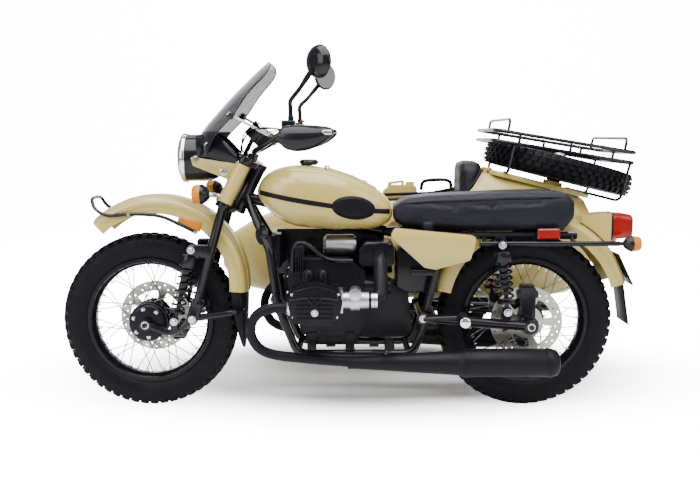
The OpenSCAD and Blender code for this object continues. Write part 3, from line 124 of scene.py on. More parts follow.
@dataclass
class Surface:
    """Points, in millimetres of the drawing's frame, and faces of one mesh."""

    points: Array
    faces: list[list[int]]

    def moved(self, origin: Array, axis: Array, roll: float = 0.0) -> "Surface":
        """Turns local Z onto an axis and carries the local origin to a point.

        Args:
            origin: where the local origin goes.
            axis: direction that local Z takes.
            roll: turn about that axis in degrees.

        Returns:
            The moved copy.
        """
        return Surface(self.points @ axes_on(axis, roll) + np.asarray(origin, float), self.faces)

    def mirrored(self) -> "Surface":
        """Copy on the other side of the bike's middle plane, with its faces turned back.

        Returns:
            The mirrored copy.
        """
        return Surface(self.points * [1, -1, 1], [f[::-1] for f in self.faces])

    def shifted(self, by: Array) -> "Surface":
        """Copy carried along by one step.

        Args:
            by: the step.

        Returns:
            The shifted copy.
        """
        return Surface(self.points + by, self.faces)


def axes_on(axis: Array, roll: float = 0.0) -> Array:
    """Rows are the local X, Y and Z directions of a frame whose Z is the axis.

    Args:
        axis: direction of local Z.
        roll: turn about it in degrees.

    Returns:
        A 3 by 3 array.
    """
    z = np.asarray(axis, float) / np.linalg.norm(axis)
    start = np.array([0.0, 0.0, 1.0]) if abs(z[2]) < 0.9 else np.array([1.0, 0.0, 0.0])
    x = np.cross(start, z)
    x /= np.linalg.norm(x)
    y = np.cross(z, x)
    c, s = math.cos(math.radians(roll)), math.sin(math.radians(roll))
    return np.array([c * x + s * y, c * y - s * x, z])


def join(*parts: Surface) -> Surface:
    """One surface from several, the faces renumbered.

    Args:
        parts: the surfaces.

    Returns:
        All of them in one.
    """
    faces: list[list[int]] = []
    count = 0
    for p in parts:
        faces += [[i + count for i in f] for f in p.faces]
        count += len(p.points)
    return Surface(np.vstack([p.points for p in parts]), faces)


def squared(turn: Array, power: float | Array) -> Array:
    """Cosines or sines raised to a power with their signs kept, which squares a circle off.

    Args:
        turn: the cosines or sines.
        power: below 1 for a squarer outline.

    Returns:
        The squared values.
    """
    return np.sign(turn) * np.abs(turn) ** power


def bolt_circle(count: int, radius: float) -> Array:
    """Places evenly round local Z.

    Args:
        count: how many.
        radius: the circle's radius.

    Returns:
        Rows of places.
    """
    a = 2 * math.pi * np.arange(count) / count
    return np.stack([radius * np.cos(a), radius * np.sin(a), np.zeros(count)], -1)


def grid(points: Array, wrap_u: bool = False, wrap_v: bool = False, caps: bool = False) -> Surface:
    """Quads between neighbours of a grid of points.

    Args:
        points: rows by columns by 3.
        wrap_u: the last row joins the first.
        wrap_v: the last column joins the first.
        caps: the first and last rows are closed by one face each.

    Returns:
        The surface.
    """
    m, n = points.shape[:2]
    index = np.arange(m * n).reshape(m, n)
    ring = index
    if wrap_u:
        ring = np.vstack([ring, ring[:1]])
    if wrap_v:
        ring = np.hstack([ring, ring[:, :1]])
    quads = np.stack([ring[:-1, :-1], ring[1:, :-1], ring[1:, 1:], ring[:-1, 1:]], -1).reshape(-1, 4).tolist()
    if caps:
        quads += [index[0].tolist(), index[-1][::-1].tolist()]
    return Surface(points.reshape(-1, 3), quads)


def spline(points: Array, count: int) -> Array:
    """Catmull-Rom curve: each span is a cubic whose end slopes are half the step between its neighbours.

    Args:
        points: rows the curve passes through, of any width.
        count: rows in the result.

    Returns:
        The curve's rows.
    """
    p = np.asarray(points, float)
    k = len(p)
    p = np.vstack([2 * p[0] - p[1], p, 2 * p[-1] - p[-2]])
    t = np.linspace(0, k - 1, count)
    i = np.minimum(t.astype(int), k - 2)
    f = (t - i)[:, None]
    a, b, c, d = p[i], p[i + 1], p[i + 2], p[i + 3]
    return 0.5 * (2 * b + (c - a) * f + (2 * a - 5 * b + 4 * c - d) * f**2 + (3 * b - a - 3 * c + d) * f**3)


def revolve(profile: Array, steps: int = 48, wave: float = 0.0, lobes: int = 0) -> Surface:
    """Profile of radius and height turned round local Z, its radius rising and falling by a wave.

    Args:
        profile: rows of radius and height.
        steps: columns round the turn.
        wave: share of the radius that the lobes add.
        lobes: how many lobes a turn has.

    Returns:
        The surface.
    """
    p = np.asarray(profile, float)
    a = np.linspace(0, 2 * math.pi, steps, endpoint=False)
    r = p[:, :1] * (1 + wave * np.cos(lobes * a)[None])
    return grid(np.stack([r * np.cos(a), r * np.sin(a), np.repeat(p[:, 1:], steps, 1)], -1), wrap_v=True)


def sweep(path: Array, radius: float | Array, sides: int = 10, closed: bool = False,
          up: Vec = (0, 0, 1)) -> Surface:
    """Round tube: a circle square to the path's direction at each of its points.

    Args:
        path: points of the middle line.
        radius: one radius, or one for each point.
        sides: points round the tube.
        closed: the path is a loop.
        up: a direction that the path never takes.

    Returns:
        The surface.
    """
    p = np.asarray(path, float)
    t = np.roll(p, -1, 0) - np.roll(p, 1, 0) if closed else np.gradient(p, axis=0)
    t /= np.linalg.norm(t, axis=1, keepdims=True)
    u = np.cross(t, np.asarray(up, float))
    u /= np.linalg.norm(u, axis=1, keepdims=True)
    v = np.cross(t, u)
    a = np.linspace(0, 2 * math.pi, sides, endpoint=False)
    r = np.broadcast_to(np.asarray(radius, float), (len(p),))[:, None, None]
    ring = np.cos(a)[None, :, None] * u[:, None] + np.sin(a)[None, :, None] * v[:, None]
    return grid(p[:, None] + r * ring, wrap_u=closed, wrap_v=True, caps=not closed)


def sections(table: Array, middle: float = 0.0, count: int = 64) -> Surface:
    """Loft over superellipse sections square to X.

    Args:
        table: rows of x, low edge, high edge, half width and squareness.
        middle: Y of the sections' middles.
        count: points round a section.

    Returns:
        The closed surface.
    """
    x, low, high, half, power = (np.asarray(table, float)[:, i : i + 1] for i in range(5))
    a = np.linspace(0, 2 * math.pi, count, endpoint=False)[None]
    c, s = np.cos(a), np.sin(a)
    y = middle + half * squared(c, 2 / power)
    z = (low + high) / 2 + (high - low) / 2 * squared(s, 2 / power)
    return grid(np.stack([np.broadcast_to(x, y.shape), y, z], -1), wrap_v=True, caps=True)


def brick(low: Vec, high: Vec, round_by: float = 3.0) -> Surface:
    """Box with rounded edges: the corners of a sphere's grid pulled apart by the box's half sizes.

    Args:
        low: lowest corner.
        high: highest corner.
        round_by: radius of the edges.

    Returns:
        The surface, in the same frame as the corners.
    """
    lo, hi = np.asarray(low, float), np.asarray(high, float)
    mid, half = (lo + hi) / 2, (hi - lo) / 2
    r = min(round_by, float(half.min()) * 0.98)
    lat = np.radians([-90, -60, -30, -1e-3, 1e-3, 30, 60, 90])
    lon = np.radians(np.concatenate([np.array([0.01, 30, 60, 89.99]) + 90 * q for q in range(4)]))
    ball = np.stack([np.cos(lat)[:, None] * np.cos(lon), np.cos(lat)[:, None] * np.sin(lon),
                     np.repeat(np.sin(lat)[:, None], len(lon), 1)], -1)
    corner = np.sign(np.stack([np.broadcast_to(np.cos(lon), ball.shape[:2]),
                               np.broadcast_to(np.sin(lon), ball.shape[:2]),
                               np.broadcast_to(np.sign(lat)[:, None], ball.shape[:2])], -1))
    return grid(mid + corner * (half - r) + r * ball, wrap_v=True, caps=True)


def shell(outer: Array, inner: Array) -> Surface:
    """Closed sheet between two grids of points that face each other.

    Args:
        outer: rows by columns by 3.
        inner: the other face's points, in the same order.

    Returns:
        The surface.
    """
    return grid(np.concatenate([outer, inner[:, ::-1]], 1), wrap_v=True, caps=True)


def repeated(faces: list[list[int]], size: int, count: int) -> list[list[int]]:
    """Faces of one shape, renumbered for each of its copies.

    Args:
        faces: the shape's faces.
        size: how many points the shape has.
        count: how many copies.

    Returns:
        The faces of all copies.
    """
    return [[i + size * k for i in f] for k in range(count) for f in faces]


def stamped(shape: Surface, frames: Array, shift: Array) -> Surface:
    """Copies of a shape, each turned by its own frame and then shifted.

    Args:
        shape: the shape round its own origin.
        frames: for each copy, the rows of its X, Y and Z directions.
        shift: the step of all copies, or one for each.

    Returns:
        All copies as one surface.
    """
    points = np.einsum("pk,nkj->npj", shape.points, frames) + shift
    return Surface(points.reshape(-1, 3), repeated(shape.faces, len(shape.points), len(frames)))


def copies(shape: Surface, centres: Array, axis: Array, roll: float = 0.0) -> Surface:
    """The same small shape at many places, its local Z along one axis.

    Args:
        shape: the shape round its own origin.
        centres: rows of places.
        axis: direction of local Z.
        roll: turn about it in degrees.

    Returns:
        All copies as one surface.
    """
    c = np.atleast_2d(np.asarray(centres, float))
    turned = shape.points @ axes_on(axis, roll)
    return Surface((c[:, None] + turned[None]).reshape(-1, 3), repeated(shape.faces, len(turned), len(c)))


def bolt(radius: float, height: float) -> Surface:
    """Hexagon head on a washer, standing on local Z.

    Args:
        radius: from the middle to a corner of the head.
        height: of the head above the washer's seat.

    Returns:
        The bolt.
    """
    head = revolve([[0, height], [0.7 * radius, height], [0.86 * radius, 0.8 * height],
                    [0.86 * radius, 0.2 * height]], 6)
    washer = revolve([[0.86 * radius, 0.2 * height], [1.15 * radius, 0.18 * height], [1.2 * radius, 0],
                      [1.2 * radius, -2], [0, -2]], 18)
    return join(head, washer)


def arc(middle: Array, radius: float, start: float, stop: float, y: float, count: int = 60) -> Array:
    """Points of a circle in a plane square to Y, angles in degrees up from +X.

    Args:
        middle: the circle's centre.
        radius: its radius.
        start: first angle.
        stop: last angle.
        y: step of the plane along Y from the centre.
        count: how many points.

    Returns:
        Rows of points.
    """
    a = np.radians(np.linspace(start, stop, count))
    return np.stack([middle[0] + radius * np.cos(a), np.full(count, middle[1] + y),
                     middle[2] + radius * np.sin(a)], -1)


# ---------------------------------------------------------------- shader groups and finishes


def new_group(name: str, inputs: list[tuple[str, str, object]], outputs: list[tuple[str, str]]) -> tuple:
    """Empty shader group with named sockets.

    Args:
        name: the group's name.
        inputs: rows of name, socket type and default value.
        outputs: rows of name and socket type.

    Returns:
        The tree, its input node and its output node.
    """
    tree = bpy.data.node_groups.new(name, "ShaderNodeTree")
    for label, kind, value in inputs:
        socket = tree.interface.new_socket(label, in_out="INPUT", socket_type=kind)
        if value is not None:
            socket.default_value = value
    for label, kind in outputs:
        tree.interface.new_socket(label, in_out="OUTPUT", socket_type=kind)
    return tree, tree.nodes.new("NodeGroupInput"), tree.nodes.new("NodeGroupOutput")


def set_inputs(node: bpy.types.Node, values: dict) -> None:
    """Sets constants on a node's input sockets.

    Args:
        node: the node.
        values: the value for each socket's name or number.
    """
    for label, value in values.items():
        node.inputs[label].default_value = value


def add_node(tree: bpy.types.NodeTree, kind: str, values: dict | None = None,
             **settings: object) -> bpy.types.Node:
    """New shader node with its settings and constants.

    Args:
        tree: the tree that gets the node.
        kind: the node's type without its common prefix.
        values: constants for its input sockets.
        settings: properties of the node itself.

    Returns:
        The node.
    """
    node = tree.nodes.new("ShaderNode" + kind)
    for label, value in settings.items():
        setattr(node, label, value)
    set_inputs(node, values or {})
    return node


def mix_colours(tree: bpy.types.NodeTree, share: bpy.types.NodeSocket, first: object,
                second: object) -> bpy.types.NodeSocket:
    """Mixes two colours, each of them a socket or a fixed value.

    Args:
        tree: the tree that gets the node.
        share: how much of the second colour shows.
        first: the colour at share 0.
        second: the colour at share 1.

    Returns:
        The mixed colour.
    """
    mix = add_node(tree, "Mix", data_type="RGBA")
    tree.links.new(share, mix.inputs[0])
    for socket, given in ((mix.inputs[6], first), (mix.inputs[7], second)):
        if isinstance(given, bpy.types.NodeSocket):
            tree.links.new(given, socket)
        else:
            socket.default_value = given
    return mix.outputs[2]


def mottle_group() -> bpy.types.NodeTree:
    """Group that shades between two colours by soft noise, and gives a roughness that follows it.

    Returns:
        The tree.
    """
    tree, src, out = new_group("mottle",
                               [("Vector", "NodeSocketVector", None), ("Scale", "NodeSocketFloat", 6.0),
                                ("Dark", "NodeSocketColor", (0, 0, 0, 1)),
                                ("Light", "NodeSocketColor", (1, 1, 1, 1)),
                                ("Rough Low", "NodeSocketFloat", 0.3),
                                ("Rough High", "NodeSocketFloat", 0.5)],
                               [("Color", "NodeSocketColor"), ("Roughness", "NodeSocketFloat")])
    noise = add_node(tree, "TexNoise", {"Detail": 5})
    span = add_node(tree, "MapRange", {"From Min": 0.3, "From Max": 0.7})
    link = tree.links.new
    link(src.outputs["Vector"], noise.inputs["Vector"])
    link(src.outputs["Scale"], noise.inputs["Scale"])
    link(noise.outputs["Fac"], span.inputs["Value"])
    link(src.outputs["Rough Low"], span.inputs["To Min"])
    link(src.outputs["Rough High"], span.inputs["To Max"])
    link(mix_colours(tree, noise.outputs["Fac"], src.outputs["Dark"], src.outputs["Light"]),
         out.inputs["Color"])
    link(span.outputs["Result"], out.inputs["Roughness"])
    return tree


def dust_group() -> bpy.types.NodeTree:
    """Group that lays pale road dust over a colour, thicker towards the ground and broken up by noise.

    Returns:
        The tree.
    """
    tree, src, out = new_group("road_dust",
                               [("Vector", "NodeSocketVector", None),
                                ("Color", "NodeSocketColor", (0, 0, 0, 1)),
                                ("Dust", "NodeSocketColor", (0.34, 0.3, 0.24, 1)),
                                ("Top", "NodeSocketFloat", 0.6), ("Amount", "NodeSocketFloat", 0.15)],
                               [("Color", "NodeSocketColor"), ("Mask", "NodeSocketFloat")])
    parts = add_node(tree, "SeparateXYZ")
    span = add_node(tree, "MapRange", {"To Min": 1, "To Max": 0})
    noise = add_node(tree, "TexNoise", {"Scale": 14, "Detail": 6})
    first, second = (add_node(tree, "Math", operation="MULTIPLY") for _ in range(2))
    link = tree.links.new
    link(src.outputs["Vector"], parts.inputs[0])
    link(src.outputs["Vector"], noise.inputs["Vector"])
    link(parts.outputs["Z"], span.inputs["Value"])
    link(src.outputs["Top"], span.inputs["From Max"])
    link(span.outputs["Result"], first.inputs[0])
    link(noise.outputs["Fac"], first.inputs[1])
    link(first.outputs[0], second.inputs[0])
    link(src.outputs["Amount"], second.inputs[1])
    link(mix_colours(tree, second.outputs[0], src.outputs["Color"], src.outputs["Dust"]), out.inputs["Color"])
    link(second.outputs[0], out.inputs["Mask"])
    return tree


def relief_group(kind: Grain) -> bpy.types.NodeTree:
    """Group that puts out the height of one kind of fine relief.

    Args:
        kind: which relief.

    Returns:
        The tree.
    """
    tree, src, out = new_group("relief_" + kind.value,
                               [("Vector", "NodeSocketVector", None), ("Scale", "NodeSocketFloat", 200.0)],
                               [("Height", "NodeSocketFloat")])
    link = tree.links.new
    if kind is Grain.PEBBLE:
        cells = add_node(tree, "TexVoronoi", feature="SMOOTH_F1")
        link(src.outputs["Vector"], cells.inputs["Vector"])
        link(src.outputs["Scale"], cells.inputs["Scale"])
        link(cells.outputs["Distance"], out.inputs["Height"])
        return tree
    noise = add_node(tree, "TexNoise", {"Detail": 3 if kind is Grain.CAST else 1})
    if kind is Grain.BRUSHED:
        stretch = add_node(tree, "Mapping", {"Scale": (0.06, 1.0, 1.0)})
        link(src.outputs["Vector"], stretch.inputs["Vector"])
        link(stretch.outputs["Vector"], noise.inputs["Vector"])
    else:
        link(src.outputs["Vector"], noise.inputs["Vector"])
    link(src.outputs["Scale"], noise.inputs["Scale"])
    link(noise.outputs["Fac"], out.inputs["Height"])
    return tree


class ShaderGroups:
    """The shared groups, each built once."""

    def __init__(self) -> None:
        """Builds every group."""
        self.mottle = mottle_group()
        self.dust = dust_group()
        self.relief = {kind: relief_group(kind) for kind in Grain}


@dataclass(frozen=True)
class Finish:
    """One finish: its colours, gloss and fine relief."""

    name: str
    slot: str
    light: Colour
    dark: Colour
    rough: tuple[float, float] = (0.3, 0.45)
    metallic: float = 0.0
    coat: float = 0.0
    grain: Grain = Grain.SMOOTH
    grain_scale: float = 200.0
    grain_depth: float = 0.0
    mottle: float = 5.0
    dust: float = 0.0
    transmission: float = 0.0
    ior: float = 1.45
    alpha: float = 1.0
    specular: float = 0.5
    core: tuple[Colour, float, Vec] | None = None

    def material(self, groups: ShaderGroups) -> bpy.types.Material:
        """Builds the material, or gives the one already built.

        Args:
            groups: the shared shader groups.

        Returns:
            The material.
        """
        found = bpy.data.materials.get(self.name)
        if found:
            return found
        mat = bpy.data.materials.new(self.name)
        mat.use_nodes = True
        tree = mat.node_tree
        bsdf = tree.nodes["Principled BSDF"]
        link = tree.links.new
        coords = add_node(tree, "TexCoord")
        tone = self._group(tree, groups.mottle, coords, {
            "Scale": self.mottle, "Dark": (*self.dark, 1), "Light": (*self.light, 1),
            "Rough Low": self.rough[0], "Rough High": self.rough[1]})
        colour = tone.outputs["Color"]
        if self.core:
            colour = self._core_colour(tree, coords, colour)
        if self.dust:
            dust = self._group(tree, groups.dust, coords, {"Amount": self.dust})
            link(colour, dust.inputs["Color"])
            colour = dust.outputs["Color"]
        link(colour, bsdf.inputs["Base Color"])
        link(tone.outputs["Roughness"], bsdf.inputs["Roughness"])
        set_inputs(bsdf, {
            "Metallic": self.metallic, "Coat Weight": self.coat, "Coat Roughness": 0.06,
            "Transmission Weight": self.transmission, "IOR": self.ior, "Alpha": self.alpha,
            "Specular IOR Level": self.specular})
        if self.grain_depth:
            relief = self._group(tree, groups.relief[self.grain], coords, {"Scale": self.grain_scale})
            bump = add_node(tree, "Bump", {"Strength": 0.6, "Distance": self.grain_depth})
            link(relief.outputs["Height"], bump.inputs["Height"])
            link(bump.outputs["Normal"], bsdf.inputs["Normal"])
        return mat

    @staticmethod
    def _group(tree: bpy.types.NodeTree, group: bpy.types.NodeTree, coords: bpy.types.Node,
               values: dict) -> bpy.types.Node:
        """Places a shared group, reading the piece's own coordinates.

        Args:
            tree: the material's tree.
            group: the shared group.
            coords: the material's coordinates.
            values: constants for the group's sockets.

        Returns:
            The group's node.
        """
        node = add_node(tree, "Group", node_tree=group)
        set_inputs(node, values)
        tree.links.new(coords.outputs["Object"], node.inputs["Vector"])
        return node

    def _core_colour(self, tree: bpy.types.NodeTree, coords: bpy.types.Node,
                     colour: bpy.types.NodeSocket) -> bpy.types.NodeSocket:
        """Puts the core's colour inside a distance from an axle that runs along Y.

        Args:
            tree: the material's tree.
            coords: its coordinates.
            colour: the colour outside the core.

        Returns:
            The mixed colour.
        """
        inner, radius, centre = self.core
        shift = add_node(tree, "Mapping", {"Location": (-centre[0], 0, -centre[2]), "Scale": (1, 0, 1)})
        size = add_node(tree, "VectorMath", operation="LENGTH")
        test = add_node(tree, "Math", {1: radius}, operation="LESS_THAN")
        link = tree.links.new
        link(coords.outputs["Object"], shift.inputs["Vector"])
        link(shift.outputs["Vector"], size.inputs[0])
        link(size.outputs["Value"], test.inputs[0])
        return mix_colours(tree, test.outputs[0], colour, (*inner, 1))


BLACK: Colour = (0.0025, 0.0025, 0.004)
SAND = Finish("sand_gloss", "sand_paint", (0.405, 0.314, 0.088), (0.368, 0.284, 0.077), (0.22, 0.32),
              coat=0.55, mottle=3.0, dust=0.03, specular=0.35, grain=Grain.CAST, grain_scale=420,
              grain_depth=0.00003)
ENAMEL = Finish("black_enamel", "black_steel", (0.005, 0.005, 0.008), BLACK, (0.16, 0.3), coat=0.2, dust=0.01,
                specular=0.2)
RIM_BLACK = Finish("rim_gloss", "rim_black", (0.004, 0.004, 0.006), BLACK, (0.12, 0.24), coat=0.1, dust=0.01,
                   specular=0.12)
MATT = Finish("heat_black", "black_steel", (0.0065, 0.0065, 0.0095), (0.0038, 0.0038, 0.0055), (0.36, 0.48),
              grain=Grain.CAST, grain_scale=700, grain_depth=0.00006, dust=0.008, specular=0.12)
CASE = Finish("engine_black", "black_case", (0.0065, 0.0065, 0.0095), (0.0032, 0.0032, 0.005), (0.24, 0.4),
              grain=Grain.CAST, grain_scale=520, grain_depth=0.0001, dust=0.008, specular=0.16)
ALLOY = Finish("cast_alloy", "bare_alloy", (0.6, 0.61, 0.63), (0.34, 0.35, 0.37), (0.26, 0.44), metallic=1.0,
               grain=Grain.CAST, grain_scale=480, grain_depth=0.00012)
STEEL = Finish("bright_zinc", "bright_steel", (0.75, 0.76, 0.78), (0.5, 0.51, 0.53), (0.14, 0.28),
               metallic=1.0)
DISC = Finish("ground_steel", "bright_steel", (0.5, 0.48, 0.43), (0.36, 0.345, 0.31), (0.24, 0.4),
              metallic=1.0, grain=Grain.BRUSHED, grain_scale=900, grain_depth=0.00005)
CHROME = Finish("chrome", "bright_steel", (0.86, 0.87, 0.89), (0.8, 0.81, 0.83), (0.04, 0.08), metallic=1.0)
TYRE = Finish("tyre_rubber", "tyre", (0.0042, 0.0042, 0.006), (0.0026, 0.0026, 0.004), (0.4, 0.58),
              grain=Grain.CAST, grain_scale=380, grain_depth=0.00025, dust=0.006, specular=0.11)
RUBBER = Finish("moulded_rubber", "black_rubber", (0.0055, 0.0055, 0.008), (0.003, 0.003, 0.0045),
                (0.36, 0.52), grain=Grain.CAST, grain_scale=600, grain_depth=0.00012, dust=0.015,
                specular=0.12)
PLASTIC = Finish("grained_plastic", "black_plastic", (0.007, 0.007, 0.01), (0.004, 0.004, 0.005), (0.18, 0.3),
                 coat=0.12, specular=0.2, grain=Grain.PEBBLE, grain_scale=900, grain_depth=0.00004)
VINYL = Finish("leatherette", "dark_leatherette", (0.011, 0.011, 0.017), (0.007, 0.007, 0.011), (0.36, 0.48),
               grain=Grain.PEBBLE, grain_scale=420, grain_depth=0.0003, mottle=9.0, specular=0.14)
AMBER = Finish("amber_moulding", "amber_lens", (0.5, 0.165, 0.0), (0.38, 0.115, 0.0), (0.1, 0.2), coat=0.1,
               specular=0.2)
RED = Finish("red_moulding", "red_lens", (0.24, 0.0015, 0.001), (0.17, 0.001, 0.0006), (0.1, 0.2), coat=0.15,
             specular=0.3)
SMOKE = Finish("smoked_sheet", "smoked_screen", (0.035, 0.037, 0.042), (0.025, 0.027, 0.031), (0.03, 0.06),
               alpha=0.82, coat=0.8)
CLEAR = Finish("clear_glass", "smoked_screen", (0.95, 0.96, 0.97), (0.92, 0.93, 0.94), (0.02, 0.05),
               transmission=1.0, ior=1.4)
MIRROR = Finish("silvered_glass", "black_plastic", (0.9, 0.91, 0.93), (0.86, 0.87, 0.89), (0.01, 0.03),
                metallic=1.0)
DIAL = Finish("dial_white", "black_plastic", (0.75, 0.75, 0.72), (0.7, 0.7, 0.67), (0.35, 0.45))


# ---------------------------------------------------------------- pieces in Blender


@dataclass
class Workshop:
    """Makes pieces from surfaces and dresses CAD nodes."""

    frame: dict
    groups: ShaderGroups
    origin: Array = field(init=False)

    def __post_init__(self) -> None:
        """Finds the drawing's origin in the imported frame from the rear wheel's joint."""
        joint = next(j for j in self.frame["joints"] if j["name"] == "rear_wheel_spin")
        self.origin = np.array(joint["pos_m"]) - [0, 0, AXLE_Z / 1000]

    def piece(self, name: str, shape: Surface, finish: Finish, body: Body, replaces: tuple[str, ...] = (),
              sharp: float = 40.0, closed: bool = True) -> bpy.types.Object:
        """Puts a surface into a mesh that rides on a body.

        Args:
            name: the piece's name.
            shape: its surface in the drawing's frame.
            finish: its finish.
            body: the body it moves with.
            replaces: CAD nodes it stands for.
            sharp: edges turning more than this many degrees stay sharp.
            closed: the surface is a closed one, whose faces are turned outwards.

        Returns:
            The object.
        """
        mesh = bpy.data.meshes.new(name)
        mesh.from_pydata((shape.points / 1000 + self.origin).tolist(), [], shape.faces)
        work = bmesh.new()
        work.from_mesh(mesh)
        bmesh.ops.remove_doubles(work, verts=work.verts, dist=WELD_M)
        bmesh.ops.dissolve_degenerate(work, edges=work.edges, dist=1e-6)
        if closed:
            bmesh.ops.recalc_face_normals(work, faces=work.faces)
        work.to_mesh(mesh)
        work.free()
        mesh.polygons.foreach_set("use_smooth", np.ones(len(mesh.polygons), bool))
        mesh.set_sharp_from_angle(angle=math.radians(sharp))
        obj = bpy.data.objects.new(name, mesh)
        bpy.context.scene.collection.objects.link(obj)
        mesh.materials.append(finish.material(self.groups))
        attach(obj, body.value)
        if replaces:
            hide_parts(*replaces)
        LOG.info("%s: %d faces on %s", name, len(mesh.polygons), body.value)
        return obj

    def pair(self, name: str, shape: Surface, finish: Finish, body: Body, replaces: tuple[str, ...] = (),
             closed: bool = True) -> bpy.types.Object:
        """Puts a left-hand surface and its mirror image into one piece.

        Args:
            name: the piece's name.
            shape: the left side's surface.
            finish: its finish.
            body: the body it moves with.
            replaces: CAD nodes it stands for.
            closed: the surface is a closed one.

        Returns:
            The object.
        """
        return self.piece(name, join(shape, shape.mirrored()), finish, body, replaces, closed=closed)

    def dress(self, finish: Finish, *nodes: str, bevel: float = 0.0, sharp: float = 38.0,
              swell: float = 0.0) -> None:
        """Gives CAD nodes a finish and smooth shading that keeps their sharp edges.

        Args:
            finish: the finish.
            nodes: the nodes' names.
            bevel: width in metres of a small rounding of their edges, or 0.
            sharp: edges turning more than this many degrees stay sharp.
            swell: metres of paint that thicken thin tubes to the eye, or 0.
        """
        for node in nodes:
            obj = self.frame["nodes"][node]
            obj.data.materials.clear()
            obj.data.materials.append(finish.material(self.groups))
            obj.data.polygons.foreach_set("use_smooth", np.ones(len(obj.data.polygons), bool))
            weld = obj.modifiers.new("weld", "WELD")
            weld.merge_threshold = WELD_M
            if swell:
                paint = obj.modifiers.new("paint", "DISPLACE")
                paint.strength, paint.mid_level = swell, 0.0
            if bevel:
                soft = obj.modifiers.new("soft_edge", "BEVEL")
                soft.width, soft.segments, soft.limit_method = bevel, 2, "ANGLE"
                soft.angle_limit = math.radians(sharp)
                soft.use_clamp_overlap = True
            split = obj.modifiers.new("sharp_edge", "EDGE_SPLIT")
            split.split_angle, split.use_edge_sharp = math.radians(sharp), False
            LOG.info("%s dressed in %s", node, finish.name)

    def padding(self, name: str, node: str, body: Body, swell: float) -> bpy.types.Object:
        """Blows up a copy of a soft CAD solid as cloth, and lets it stand for the solid.

        Args:
            name: the piece's name.
            node: the CAD node.
            body: the body it moves with.
            swell: how far in metres a point may move.

        Returns:
            The piece.
        """
        mesh = self.frame["nodes"][node].data.copy()
        mesh.name = name
        mesh.materials.clear()
        mesh.materials.append(VINYL.material(self.groups))
        obj = bpy.data.objects.new(name, mesh)
        bpy.context.scene.collection.objects.link(obj)
        work = bmesh.new()
        work.from_mesh(mesh)
        bmesh.ops.remove_doubles(work, verts=work.verts, dist=WELD_M)
        work.to_mesh(mesh)
        work.free()
        remesh = obj.modifiers.new("even", "REMESH")
        remesh.mode, remesh.voxel_size = "VOXEL", 0.006
        smooth = obj.modifiers.new("ease", "SMOOTH")
        smooth.iterations, smooth.factor = 6, 0.5
        graph = bpy.context.evaluated_depsgraph_get()
        even = bpy.data.meshes.new_from_object(obj.evaluated_get(graph))
        obj.modifiers.clear()
        obj.data = even
        even.name = name
        self._blow_up(obj, swell)
        even.polygons.foreach_set("use_smooth", np.ones(len(even.polygons), bool))
        if not even.materials:
            even.materials.append(VINYL.material(self.groups))
        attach(obj, body.value)
        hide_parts(node)
        LOG.info("%s: padded, %d faces", name, len(even.polygons))
        return obj

    @staticmethod
    def _blow_up(obj: bpy.types.Object, swell: float) -> None:
        """Runs a few steps of pressurised cloth and keeps each point's move within a cap.

        Args:
            obj: the padded piece.
            swell: the cap in metres.
        """
        scene = bpy.context.scene
        before = np.empty(len(obj.data.vertices) * 3, np.float32)
        obj.data.vertices.foreach_get("co", before)
        cloth = obj.modifiers.new("puff", "CLOTH")
        cloth.settings.use_pressure = True
        cloth.settings.uniform_pressure_force = 4
        cloth.settings.effector_weights.gravity = 0
        cloth.settings.quality = 4
        cloth.settings.tension_stiffness = cloth.settings.compression_stiffness = 60
        cloth.settings.bending_stiffness = 8
        cloth.point_cache.frame_start, cloth.point_cache.frame_end = 1, PUFF_STEPS
        for step in range(1, PUFF_STEPS + 1):
            scene.frame_set(step)
        after = np.empty_like(before)
        obj.evaluated_get(bpy.context.evaluated_depsgraph_get()).data.vertices.foreach_get("co", after)
        obj.modifiers.clear()
        move = (after - before).reshape(-1, 3)
        size = np.linalg.norm(move, axis=1, keepdims=True)
        move *= np.minimum(1, swell / np.maximum(size, 1e-9))
        obj.data.vertices.foreach_set("co", (before.reshape(-1, 3) + move).ravel())
        obj.data.update()
        scene.frame_set(1)


# ---------------------------------------------------------------- sub-assemblies


